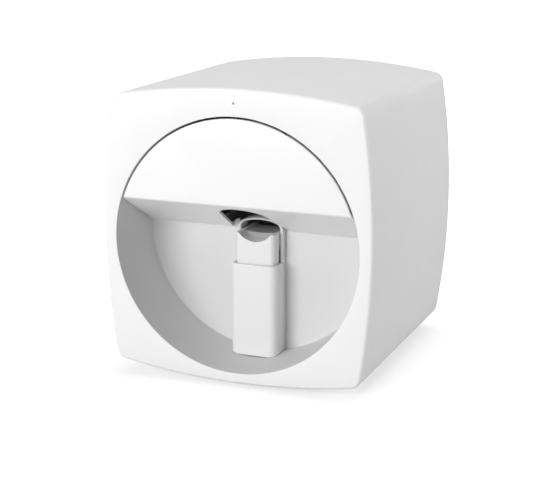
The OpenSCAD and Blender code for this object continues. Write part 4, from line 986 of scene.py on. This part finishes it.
def rect_ring(half_x, half_z, r, y, x=SWITCH_X, z=PORT_Z):
    """A rounded rectangle round the switch's middle as a ring of points at a depth."""
    return [at(px, y, pz) for px, pz in rounded_rect(x - half_x, x + half_x, z - half_z, z + half_z, r)]


switch_rings = [rect_ring(10.5, 6.5, 0.8, POCKET_Y - 12), rect_ring(10.5, 6.5, 0.8, POCKET_Y),
                rect_ring(12.5, 8.5, 1.6, POCKET_Y), rect_ring(12.5, 8.5, 1.6, POCKET_Y + 1.4),
                rect_ring(12.0, 8.0, 1.4, POCKET_Y + 2), rect_ring(9.5, 5.5, 0.7, POCKET_Y + 2),
                rect_ring(9.0, 5.0, 0.5, POCKET_Y + 1.4), rect_ring(9.0, 5.0, 0.5, POCKET_Y - 10)]
switch = loft("switch_bezel", switch_rings)
finish(switch, switch_black, "housing", "switch_frame", slot="switch_black")
ROCKER_R, ROCKER_TILT = 8.4, 8.0
# right flank, the shallow dish for the fingertip, left flank
paddle = (arc(0, 0, ROCKER_R, -13, 62, 14) + [(2.4, 7.15), (0, 6.95), (-2.4, 7.15)]
          + arc(0, 0, ROCKER_R, 118, 193, 14))
turn = math.radians(ROCKER_TILT)
ROCKER_PIVOT_Y = POCKET_Y - 5
rocker_shape = [(SWITCH_X + x * math.cos(turn) - y * math.sin(turn),
                 ROCKER_PIVOT_Y + x * math.sin(turn) + y * math.cos(turn)) for x, y in paddle]
rocker = swept_z("rocker_paddle", rocker_shape, PORT_Z - 4.6, PORT_Z + 4.6)
break_edges(rocker, 0.4, 3, 50)
finish(rocker, switch_black, "rocker", "power_rocker", slot="switch_black")
print("socket, pin, switch bezel and rocker made")

# %% [markdown]
# ## Indicator
# Above the opening a tiny light pipe shows through the bezel. It is a clear rod with a domed tip
# and a flange behind, which keeps it from falling out.

# %% Indicator
lens_profile = [(0.01, 0.05), (0.45, 0.09), (0.75, 0.22), (0.95, 0.5), (0.95, 3.0), (2.5, 3.0), (2.5, 4.2),
                (0.01, 4.2)]
indicator = turned_y("indicator_pipe", lens_profile, 0, LENS_Z, 32)
indicator_smoke = moulded("smoky indicator plastic", (0.3, 0.28, 0.24), 0.08, 0.16,
                          grain=400, grain_depth=0.004, strength=0.05, shift=0.02)
finish(indicator, indicator_smoke, "housing", "indicator_lens", slot="indicator")
print("indicator made, tip at", round(indicator.bound_box[0][2], 4), "m")

# %% [markdown]
# ## Fan
# Real fan blades are twisted: steep at the hub, where the air moves slowly, and flatter at the
# tip. Each blade here is a loft of thin sections between hub and tip that turn a little more
# with every step. The frame around it has rounded corners and four thin arms at the back.

# %% Fan
BLADES = 7
FAN_HALF, DUCT_R = FAN_SIDE / 2, 18.5
fan_outline = rounded_rect(-FAN_HALF, FAN_HALF, FAN_Z - FAN_HALF, FAN_Z + FAN_HALF, 3.0)
fan_shell = swept_y("fan_frame_moulding", fan_outline, FAN_Y, FAN_BACK)
combine(fan_shell, "DIFFERENCE", turned_y("duct", [(DUCT_R, FAN_Y - 1), (DUCT_R, FAN_BACK + 1)],
                                          0, FAN_Z, 96))
for sx in (-1, 1):
    for sz in (-1, 1):
        combine(fan_shell, "DIFFERENCE", turned_y("corner_dimple", [(1.7, FAN_Y - 1), (1.7, FAN_Y + 4)],
                                                  sx * FAN_SCREW, FAN_Z + sz * FAN_SCREW, 24))
fan_arms = turned_y("hub_plate", [(0.01, FAN_BACK - 2.5), (4.7, FAN_BACK - 2.5), (5.0, FAN_BACK - 2.2),
                                  (5.0, FAN_BACK), (0.01, FAN_BACK)], 0, FAN_Z, 48)
combine(fan_arms, "DIFFERENCE", turned_y("bore", [(1.55, FAN_Y), (1.55, FAN_BACK - 0.6)], 0, FAN_Z, 24))
for x_reach, z_reach in ((19.4, 1), (1, 19.4)):
    for side in (-1, 1):
        low, high = ((sorted((side * 4, side * x_reach)), (-1, 1)) if x_reach > z_reach
                     else ((-1, 1), sorted((side * 4, side * z_reach))))
        combine(fan_arms, "UNION", block("arm", (low[0], FAN_BACK - 1.5, FAN_Z + high[0]),
                                         (low[1], FAN_BACK - 0.05, FAN_Z + high[1])))
fan_shell = gather("fan_frame_moulding", [fan_shell, fan_arms])
break_edges(fan_shell, 0.25, 2)
finish(fan_shell, fan_black, "housing", "fan_frame", slot="fan_black")
BLADE_ROOT, BLADE_TIP, BLADE_STEPS = 7.4, 16.9, 8
BLADE_SECTION = [(-1, 0), (-0.6, 0.32), (0, 0.42), (0.6, 0.3), (1, 0), (0.6, -0.12), (0, -0.1), (-0.6, -0.08)]


def blade(turn):
    """One twisted blade: sections from hub to tip, each turned about the blade's own line."""
    outward = Vector((math.cos(turn), 0, math.sin(turn)))
    round_way = Vector((-math.sin(turn), 0, math.cos(turn)))
    rings = []
    for i in range(BLADE_STEPS + 1):
        reach = BLADE_ROOT + (BLADE_TIP - BLADE_ROOT) * i / BLADE_STEPS
        pitch = math.radians(52 - 22 * i / BLADE_STEPS)
        chord = 3.4 + 1.7 * i / BLADE_STEPS
        sweep = 1.4 * (i / BLADE_STEPS) ** 2
        middle = at(0, FAN_Y + 3.7, FAN_Z) + (outward * reach + round_way * sweep) * 0.001
        along = round_way * math.cos(pitch) + Vector((0, 1, 0)) * -math.sin(pitch)
        proud = round_way * math.sin(pitch) + Vector((0, 1, 0)) * math.cos(pitch)
        rings.append([middle + (along * (p * chord / 2 * 1.1) + proud * q) * 0.001 for p, q in BLADE_SECTION])
    return loft("blade", rings)


hub = turned_y("hub", [(0.01, FAN_Y + 0.5), (6.9, FAN_Y + 0.5), (7.7, FAN_Y + 0.8), (8.0, FAN_Y + 1.6),
                       (8.0, FAN_Y + 6.5), (1.5, FAN_Y + 6.5), (1.5, FAN_BACK - 1.0), (0.01, FAN_BACK - 1.0)],
               0, FAN_Z, 56)
rotor = gather("fan_rotor_moulding", [hub] + [blade(2 * math.pi * i / BLADES) for i in range(BLADES)])
finish(rotor, fan_black, "fan", "fan_rotor", slot="fan_black")
print("fan:", BLADES, "blades,", len(rotor.data.polygons), "faces")

# %% [markdown]
# ## Toothed belts
# A timing belt is a loop with small teeth on its inside. The loop is walked once at even steps,
# and the inner line moves in and out as it goes, so that the teeth come out of the same loft as
# the flat back.

# %% Toothed belts
BELT_OUT, BELT_T, BELT_W = 8.0, 1.4, 6.0
TOOTH_PITCH = 2.0


def belt_path(a, b, z, r):
    """Even points round a stadium: (along, height) with the outward direction."""
    straight, bend = b - a, math.pi * r
    total = 2 * (straight + bend)
    steps = int(round(total / TOOTH_PITCH)) * 4
    points = []
    for i in range(steps):
        s = total * i / steps
        if s < straight:
            points.append(((a + s, z + r), (0, 1)))
        elif s < straight + bend:
            t = math.pi / 2 - (s - straight) / r
            points.append(((b + r * math.cos(t), z + r * math.sin(t)), (math.cos(t), math.sin(t))))
        elif s < 2 * straight + bend:
            points.append(((b - (s - straight - bend), z - r), (0, -1)))
        else:
            t = -math.pi / 2 - (s - 2 * straight - bend) / r
            points.append(((a + r * math.cos(t), z + r * math.sin(t)), (math.cos(t), math.sin(t))))
    return points


def toothed_belt(name, a, b, z, place):
    """Belt cross-sections round the loop; place turns (along, height, sideways) into a point."""
    half = BELT_W / 2
    rings = []
    for i, ((u, v), (nu, nv)) in enumerate(belt_path(a, b, z, BELT_OUT)):
        tooth = BELT_T if i % 4 in (1, 2) else BELT_T * 0.5
        section = ((0.0, 0.3 - half), (0.0, half - 0.3), (0.15, half),
                   (tooth, half), (tooth, -half), (0.15, -half))
        rings.append([place(u - nu * d, v - nv * d, w) for d, w in section])
    return loft(name, rings, closed=True)


RAIL_X, RAIL_Z, X_BELT_X, X_BELT_Y = 90.0, 54.0, 68.0, 158.0
Y_IDLER_Y, Y_PULLEY_Y, PULLEY_W = 84, 184, 7.0
y_belt = toothed_belt("front_to_back_belt", Y_IDLER_Y, Y_PULLEY_Y, 0, lambda u, v, w: at(RAIL_X + w, u, v))
finish(y_belt, belt_rubber, "housing", "y_belt", slot="belt_rubber")
x_belt = toothed_belt("cross_belt", -X_BELT_X, X_BELT_X, RAIL_Z,
                      lambda u, v, w: at(u, X_BELT_Y + PULLEY_W / 2 + w, v))
finish(x_belt, belt_rubber, "cross_slide", "x_belt", slot="belt_rubber")
print("belts:", len(y_belt.data.polygons), "and", len(x_belt.data.polygons), "faces")

# %% [markdown]
# ## Pulleys
# The pulleys that drive the belts are turned aluminium: a toothed drum between two thin flanges.
# The drum's rings alternate between two radii as they go round, which gives it one groove for
# every belt tooth.

# %% Pulleys


def around(spot, axis, side, along, radius, t):
    """The point at a turn and a radius about an axis through spot, so far along it (mm)."""
    across = axis.cross(side)
    return spot + (axis * along + side * radius * math.cos(t) + across * radius * math.sin(t)) * 0.001


def pulley(name, spot, axis, side, bore):
    """A grooved drum with two flanges. Rings run along the axis; spot is its first face."""
    count = 80
    # distance along the axis, radius, and whether the ring has grooves
    steps = [(0.0, 7.2, 0), (0.25, 7.2, 0), (0.4, 6.9, 0), (0.4, 6.4, 1),
             (6.6, 6.4, 1), (6.6, 6.9, 0), (6.75, 7.2, 0), (PULLEY_W, 7.2, 0)]
    rings = []
    for along, r, grooved in steps:
        ring = []
        for i in range(count):
            t = 2 * math.pi * i / count
            radius = r - (0.4 if grooved and i % 4 in (2, 3) else 0.0)
            ring.append(around(spot, axis, side, along, radius, t))
        rings.append(ring)
    if bore:
        for along in (PULLEY_W, 0.0):
            rings.append([around(spot, axis, side, along, bore, 2 * math.pi * i / count)
                          for i in range(count)])
    return loft(name, rings, closed=bool(bore))


def shaft(name, start, axis, side, r, length):
    """A plain round shaft with broken ends."""
    return loft(name, [[around(start, axis, side, a, q, 2 * math.pi * i / 32) for i in range(32)]
                       for a, q in ((0, r - 0.3), (0.3, r), (length - 0.3, r), (length, r - 0.3))])


to_right, to_back, upward = Vector((1, 0, 0)), Vector((0, 1, 0)), Vector((0, 0, 1))
IDLER_BORE, Y_PULLEY_X = 2.05, RAIL_X - PULLEY_W / 2
y_drum = gather("y_drive_drum", [pulley("drum", at(Y_PULLEY_X, Y_PULLEY_Y, 0), to_right, upward, 0),
                                 shaft("shaft", at(68.5, Y_PULLEY_Y, 0), to_right, upward, 2.5, 18.5)])
finish(y_drum, pulley_metal, "y_drive_pulley", "y_pulley", slot="pulley_metal")
y_idler_drum = pulley("y_idler_drum", at(Y_PULLEY_X, Y_IDLER_Y, 0), to_right, upward, IDLER_BORE)
finish(y_idler_drum, pulley_metal, "y_idler_pulley", "y_idler", slot="pulley_metal")
x_drum = gather("x_drive_drum", [pulley("drum", at(-X_BELT_X, X_BELT_Y, RAIL_Z), to_back, upward, 0),
                                 shaft("shaft", at(-X_BELT_X, X_BELT_Y + 6, RAIL_Z), to_back, upward,
                                       2.5, 14.5)])
finish(x_drum, pulley_metal, "x_drive_pulley", "x_pulley", slot="pulley_metal")
x_idler_drum = pulley("x_idler_drum", at(X_BELT_X, X_BELT_Y, RAIL_Z), to_back, upward, IDLER_BORE)
finish(x_idler_drum, pulley_metal, "x_idler_pulley", "x_idler", slot="pulley_metal")
print("pulleys made")

# %% [markdown]
# ## Ink cartridge
# The cartridge is a glossy tank with a snout that carries the gold nozzle plate. Each side has
# five grip grooves, a fine line marks the lid, and a thumb tab stands up at the front. Soft
# edges matter here: a moulded tank never has a sharp one.

# %% Ink cartridge
tank = block("ink_tank", (-13, 72, 24), (13, 128, 66))
snout = block("snout", (-9, 73, 15.5), (9, 87, 24.5))
tab = block("tab", (-8, 72, 65.5), (8, 78, 69.5))
combine(tank, "UNION", snout, tab)
for side in (-1, 1):
    for i in range(5):
        low, high = sorted((side * 12.5, side * 13.6))
        combine(tank, "DIFFERENCE", block("grip_groove", (low, 82, 34 + i * 5), (high, 118, 36 + i * 5)))
combine(tank, "DIFFERENCE", block("lid_line", (-14, 71, 60.0), (14, 129, 60.4)))
core = block("tank_core", (-12.6, 72.4, 59), (12.6, 127.6, 61))
cartridge = gather("ink_tank", [tank, core])
break_edges(cartridge, 0.5, 3, 50)
finish(cartridge, cartridge_blue, "carriage", "ink_cartridge", slot="cartridge_plastic")
nozzle = block("nozzle_plate", (-6.5, 75, 15.5), (6.5, 85, 15.9))
break_edges(nozzle, 0.1, 2)
finish(nozzle, gold_plate, "carriage", slot="bronze")
print("cartridge:", len(cartridge.data.polygons), "faces")

# %% [markdown]
# ## Main board
# The board is a green plate with a dark chip on many fine legs, four tall capacitors with
# scored tops and three white connectors with open shells and pins. Each kind is a short
# function, and together they stand for the one CAD node.

# %% Main board
BOARD_Z = -94.0
board = block("board_plate", (-80, 92, BOARD_Z), (60, 192, BOARD_Z + 1.6))
for x, y in ((-75, 97), (55, 97), (-75, 187), (55, 187)):
    combine(board, "DIFFERENCE", turned_z("board_hole", [(1.6, BOARD_Z - 1), (1.6, BOARD_Z + 3)], x, y, 24))
finish(board, board_green, "housing", "main_board", slot="board_green")
BOARD_TOP = BOARD_Z + 1.6
chip = block("main_chip", (-18.6, 131.4, BOARD_TOP + 0.3), (-1.4, 148.6, BOARD_Z + 4))
combine(chip, "DIFFERENCE", turned_z("pin_one_mark", [(0.8, BOARD_Z + 3.7), (0.8, BOARD_Z + 4.5)],
                                     -16.2, 146.2, 20))
break_edges(chip, 0.2, 2, 60)
finish(chip, chip_black, "housing", slot="switch_black")
LEG_TOP = BOARD_TOP + 0.9
legs = []
for i in range(16):
    p = -16.8 + i * 0.9
    legs += [block("leg", (p, 130, BOARD_TOP), (p + 0.4, 131.6, LEG_TOP)),
             block("leg", (p, 148.4, BOARD_TOP), (p + 0.4, 150, LEG_TOP)),
             block("leg", (-20, p + 149.9, BOARD_TOP), (-18.4, p + 150.3, LEG_TOP)),
             block("leg", (-1.6, p + 149.9, BOARD_TOP), (0, p + 150.3, LEG_TOP))]
finish(gather("chip_legs", legs), magnet_metal, "housing", slot="magnet")
CAN_Y, CAN_TOP = 178, -80.5
can_profile = [(3.5, BOARD_TOP), (4.0, BOARD_TOP + 0.5), (4.0, BOARD_TOP + 1.6), (3.7, BOARD_TOP + 2.0),
               (4.0, BOARD_TOP + 2.4), (4.0, CAN_TOP - 0.6), (3.6, CAN_TOP - 0.1), (3.3, CAN_TOP)]
cans = []
for i in range(4):
    x = -66 + 14 * i
    can = turned_z("can", can_profile, x, CAN_Y, 40)
    for a, b in ((2.6, 0.22), (0.22, 2.6)):
        combine(can, "DIFFERENCE", block("vent_cross", (x - a, CAN_Y - b, CAN_TOP - 0.3),
                                         (x + a, CAN_Y + b, CAN_TOP + 0.5)))
    cans.append(can)
finish(gather("capacitors", cans), magnet_metal, "housing", slot="magnet")
shells, pins = [], []
for i in range(3):
    x = 20 + 12 * i
    box_shell = block("connector", (x, 96, BOARD_TOP), (x + 8, 104, -85))
    combine(box_shell, "DIFFERENCE", block("well", (x + 0.8, 96.8, BOARD_TOP + 1.4), (x + 7.2, 103.2, -84)))
    break_edges(box_shell, 0.2, 2)
    applied(box_shell)
    shells.append(box_shell)
    pins += [block("contact", (x + 1.6 + 1.5 * j, 99.7, BOARD_TOP + 1), (x + 2.2 + 1.5 * j, 100.3, -86.4))
             for j in range(4)]
finish(gather("board_connectors", shells), connector_white, "housing", slot="light_white")
finish(gather("connector_pins", pins), gold_plate, "housing", slot="bronze")
print("board with chip, 64 legs, 4 capacitors, 3 connectors")

# %% [markdown]
# ## Work light and camera
# A row of small lamps shines down on the nail from a white reflector bar, and a camera looks at
# it from behind. Each lamp is a white cup with a yellow phosphor face, and the camera's lens is
# a shallow dome of coated glass in a stepped black barrel.

# %% Work light and camera
bar = block("reflector_bar", (-40, 56, 90.4), (40, 63, 92))
break_edges(bar, 0.3, 2)
LAMP_Y = 59.5
lamp_xs = [11 * i for i in range(-3, 4)]
cup_profile = [(0.01, 91.0), (2.2, 91.0), (2.2, 89.2), (2.0, 89.0), (1.7, 89.0), (1.4, 89.7), (0.01, 89.7)]
face_profile = [(0.01, 89.75), (1.38, 89.75), (1.2, 89.45), (0.7, 89.3), (0.01, 89.25)]
cups = [turned_z("cup", cup_profile, x, LAMP_Y, 32) for x in lamp_xs]
applied(bar)
finish(gather("light_bar_lamps", [bar] + cups), lamp_white, "housing", "light_bar", slot="light_white")
faces = [turned_z("face", face_profile, x, LAMP_Y, 24) for x in lamp_xs]
finish(gather("lamp_faces", faces), phosphor, "housing", slot="light_white")
tilt = Matrix.Rotation(math.radians(25), 3, "X")
camera_spot = at(0, 46, 84)


def tilted(profile, count=56):
    """Rings round the camera's tilted line of sight; the profile is (radius, along)."""
    turns = [2 * math.pi * i / count for i in range(count)]
    return [[camera_spot + tilt @ Vector((r * math.cos(t), r * math.sin(t), a)) * 0.001 for t in turns]
            for r, a in profile]


body_box = block("camera_box", (-12, 40, 80), (12, 52, 92))
break_edges(body_box, 0.6, 3)
applied(body_box)
barrel_profile = [(6.5, -2.0), (7.0, -2.4), (7.0, -8.6), (6.6, -9.0), (6.6, -9.6), (7.0, -10.0),
                  (7.0, -13.6), (6.6, -14.0), (5.7, -14.0), (5.5, -13.6), (5.5, -11.0)]
dome_profile = [(5.3, -11.0), (5.35, -11.6), (4.9, -12.15), (3.8, -12.6), (2.4, -12.88), (1.0, -12.99)]
camera_body = gather("camera_with_barrel", [body_box, loft("barrel", tilted(barrel_profile))])
finish(camera_body, camera_black, "housing", "camera_module", slot="camera_black")
dome = loft("camera_dome", tilted(dome_profile, 48))
finish(dome, lens_glass, "housing", "camera_lens", slot="lens_glass")
print("light bar with", len(cups), "lamps; camera made")

# %% [markdown]
# ## Post spring
# Under the post stands a compression spring: wire wound with its end turns closed, so that they
# sit flat. A round ring is carried along the helix and lofted. When the post goes down the wire
# really bends closer together; here the coil keeps one shape.

# %% Post spring
WIRE_R, COIL_R, TURNS, SPRING_H = 0.6, 4.2, 9, 36.0
SPRING_Y, SPRING_BASE_Z = (SLEEVE_Y + SLEEVE_WALL + PORTAL_Y) / 2, -98.0
CLOSED_PITCH = 2 * WIRE_R + 0.6
OPEN_PITCH = (SPRING_H - 2 * WIRE_R - 2 * CLOSED_PITCH) / (TURNS - 2)


def coil_lift(t):
    """Height of the wire after so many turns."""
    closed = min(t, 1) + max(t - TURNS + 1, 0)
    return CLOSED_PITCH * closed + OPEN_PITCH * min(max(t - 1, 0), TURNS - 2)


TURN_STEPS, WIRE_SIDES = 28, 10
wire_path = []
for i in range(TURNS * TURN_STEPS + 1):
    t = 2 * math.pi * i / TURN_STEPS
    wire_path.append(at(COIL_R * math.cos(t), SPRING_Y + COIL_R * math.sin(t),
                        SPRING_BASE_Z + WIRE_R + coil_lift(i / TURN_STEPS)))
wire_turns = [2 * math.pi * k / WIRE_SIDES for k in range(WIRE_SIDES)]
wire_rings = []
for i, point in enumerate(wire_path):
    ahead = (wire_path[min(i + 1, len(wire_path) - 1)] - wire_path[max(i - 1, 0)]).normalized()
    out = ahead.cross(Vector((0, 0, 1))).normalized()
    up = out.cross(ahead)
    thick = WIRE_R * 0.001 * (0.55 if i in (0, len(wire_path) - 1) else 0.97)
    wire_rings.append([point + (out * math.cos(t) + up * math.sin(t)) * thick for t in wire_turns])
coil = loft("post_spring_coil", wire_rings)
finish(coil, spring_metal, "housing", "cradle_spring", slot="spring_steel")
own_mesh(coil)
print("spring:", len(coil.data.polygons), "faces, open pitch", round(OPEN_PITCH, 2), "mm")

# %% [markdown]
# ## Parts kept from the CAD model
# Many inner parts are bent sheet, ground rod and plain blocks whose CAD shape is already right.
# These stay as they are, get a proper material in their slots, and a narrow bevel so that their
# edges catch the light. The mesh itself is not touched: a modifier is only laid over it.

# %% Parts kept from the CAD model
# each node's material and the width of its bevel in mm
KEPT = {
    "base_tray": (sheet_zinc, 0.3), "side_frame_left": (sheet_zinc, 0.3),
    "side_frame_right": (sheet_zinc, 0.3), "top_bridge": (sheet_zinc, 0.3),
    "visor_hinge_pins": (pin_metal, 0.15),
    "visor_magnets": (magnet_metal, 0.3), "catch_magnets": (magnet_metal, 0.3),
    "spring_seat": (slide_grey, 0.3),
    "tunnel_stand": (slide_grey, 0.4), "y_rail_left": (rod_y_metal, 0.4), "y_rail_right": (rod_y_metal, 0.4),
    "y_motor": (motor_paint, 0.8), "y_block_left": (slide_grey, 0.5), "y_block_right": (slide_grey, 0.5),
    "y_bushes": (bronze, 0.3), "x_rail_upper": (rod_x_metal, 0.4), "x_rail_lower": (rod_x_metal, 0.4),
    "x_motor": (motor_paint, 0.8), "encoder_strip": (strip_film, 0), "x_carriage": (slide_grey, 0.4),
    "x_bushes": (bronze, 0.3), "cartridge_latch": (latch_blue, 0.3), "cap_station": (slide_grey, 0.5),
    "cap_seal": (seal_rubber, 0.3),
}
for name, (material, edge) in KEPT.items():
    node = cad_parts[name]
    for slot in node.material_slots:
        slot.material = material
    if not node.material_slots:
        node.data.materials.append(material)
    if edge:
        break_edges(node, edge, 2, 50)
finish(pad, pad_grey, "cradle", "cradle_pad", slot="pad_grey")
print("kept from the CAD model:", len(KEPT))

# %% [markdown]
# ## Stage and light
# The picture shows the box on plain white. The floor is a real pale surface, so it keeps the
# contact shadow, and a little light of its own, which only the camera sees and which grows
# with distance, lifts it to white. The world works the same way: white to the camera and in
# reflections, dim as a light. A large lamp in front, left of the middle, lights the front and the
# walls of the recess that face it. One behind on the right and one above reach the sides but
# cannot shine into the recess, which leaves its left wall and the post's side in shade. A
# fourth, very dim, stands where the printer's own work light is.

# %% Stage and light
world = bpy.data.worlds.new("studio")
bpy.context.scene.world = world
world.use_nodes = True
studio = world.node_tree
sky = studio.nodes["Background"]
path = studio.nodes.new("ShaderNodeLightPath")
seen = studio.nodes.new("ShaderNodeMath")
seen.operation = "MAXIMUM"
studio.links.new(path.outputs["Is Camera Ray"], seen.inputs[0])
studio.links.new(path.outputs["Is Glossy Ray"], seen.inputs[1])
clear = studio.nodes.new("ShaderNodeMath")
clear.operation = "MAXIMUM"
studio.links.new(seen.outputs[0], clear.inputs[0])
studio.links.new(path.outputs["Is Transmission Ray"], clear.inputs[1])
level = studio.nodes.new("ShaderNodeMapRange")
level.inputs["To Min"].default_value = 0.22
level.inputs["To Max"].default_value = 1.0
studio.links.new(clear.outputs[0], level.inputs["Value"])
studio.links.new(level.outputs["Result"], sky.inputs["Strength"])
sky.inputs["Color"].default_value = (1, 1, 1, 1)

floor_corners = ((-4, -4), (4, -4), (4, 4), (-4, 4))
floor = loft("floor", [[Vector((x, y, z)) for x, y in floor_corners] for z in (-0.02, 0.0)])
floor_material, floor_tree, floor_shader = start_material("pale floor")
two_tone(floor_tree, noise(floor_tree, 6, 3), (0.71, 0.71, 0.71), (0.73, 0.73, 0.73),
         floor_shader.inputs["Base Color"])
floor_shader.inputs["Roughness"].default_value = 0.8
floor_shader.inputs["Specular IOR Level"].default_value = 0.1
floor_shader.inputs["Emission Color"].default_value = (1, 1, 1, 1)
floor_place = floor_tree.nodes.new("ShaderNodeTexCoord")
from_box = floor_tree.nodes.new("ShaderNodeVectorMath")
from_box.operation = "LENGTH"
floor_tree.links.new(floor_place.outputs["Object"], from_box.inputs[0])
floor_path = floor_tree.nodes.new("ShaderNodeLightPath")
lift = floor_tree.nodes.new("ShaderNodeMath")
lift.operation = "MULTIPLY"
spread(floor_tree, from_box.outputs["Value"], 0.53, 1.0, lift.inputs[1], 0.16, 0.7)
floor_tree.links.new(floor_path.outputs["Is Camera Ray"], lift.inputs[0])
floor_tree.links.new(lift.outputs[0], floor_shader.inputs["Emission Strength"])
floor.data.materials.append(floor_material)


def softbox(name, place, target, width, height, watts):
    """A rectangular lamp at a place, turned towards a target."""
    data = bpy.data.lights.new(name, "AREA")
    data.shape = "RECTANGLE"
    data.size, data.size_y = width, height
    data.energy = watts
    lamp = bpy.data.objects.new(name, data)
    scene_collection.objects.link(lamp)
    lamp.location = place
    lamp.rotation_mode = "QUATERNION"
    lamp.rotation_quaternion = (Vector(target) - lamp.location).to_track_quat("-Z", "Y")
    return lamp


softbox("front left", (-0.65, -1.95, 0.7), (0, -0.06, 0.13), 1.3, 0.9, 31.5)
softbox("right rear", (1.9, 0.9, 0.6), (0.1, 0.0, 0.13), 1.5, 1.0, 17.5)
softbox("above", (0.1, 0.55, 1.8), (0, 0, 0.2), 1.6, 1.2, 12.5)
# the printer's own work light, very dim, keeps the chamber behind the notch from going fully black
softbox("work light", tuple(at(0, LAMP_Y, 88)), tuple(at(0, 62, 0)), 0.07, 0.006, 0.008)
bpy.context.scene.view_settings.view_transform = "Standard"
print("world light", level.inputs["To Min"].default_value)
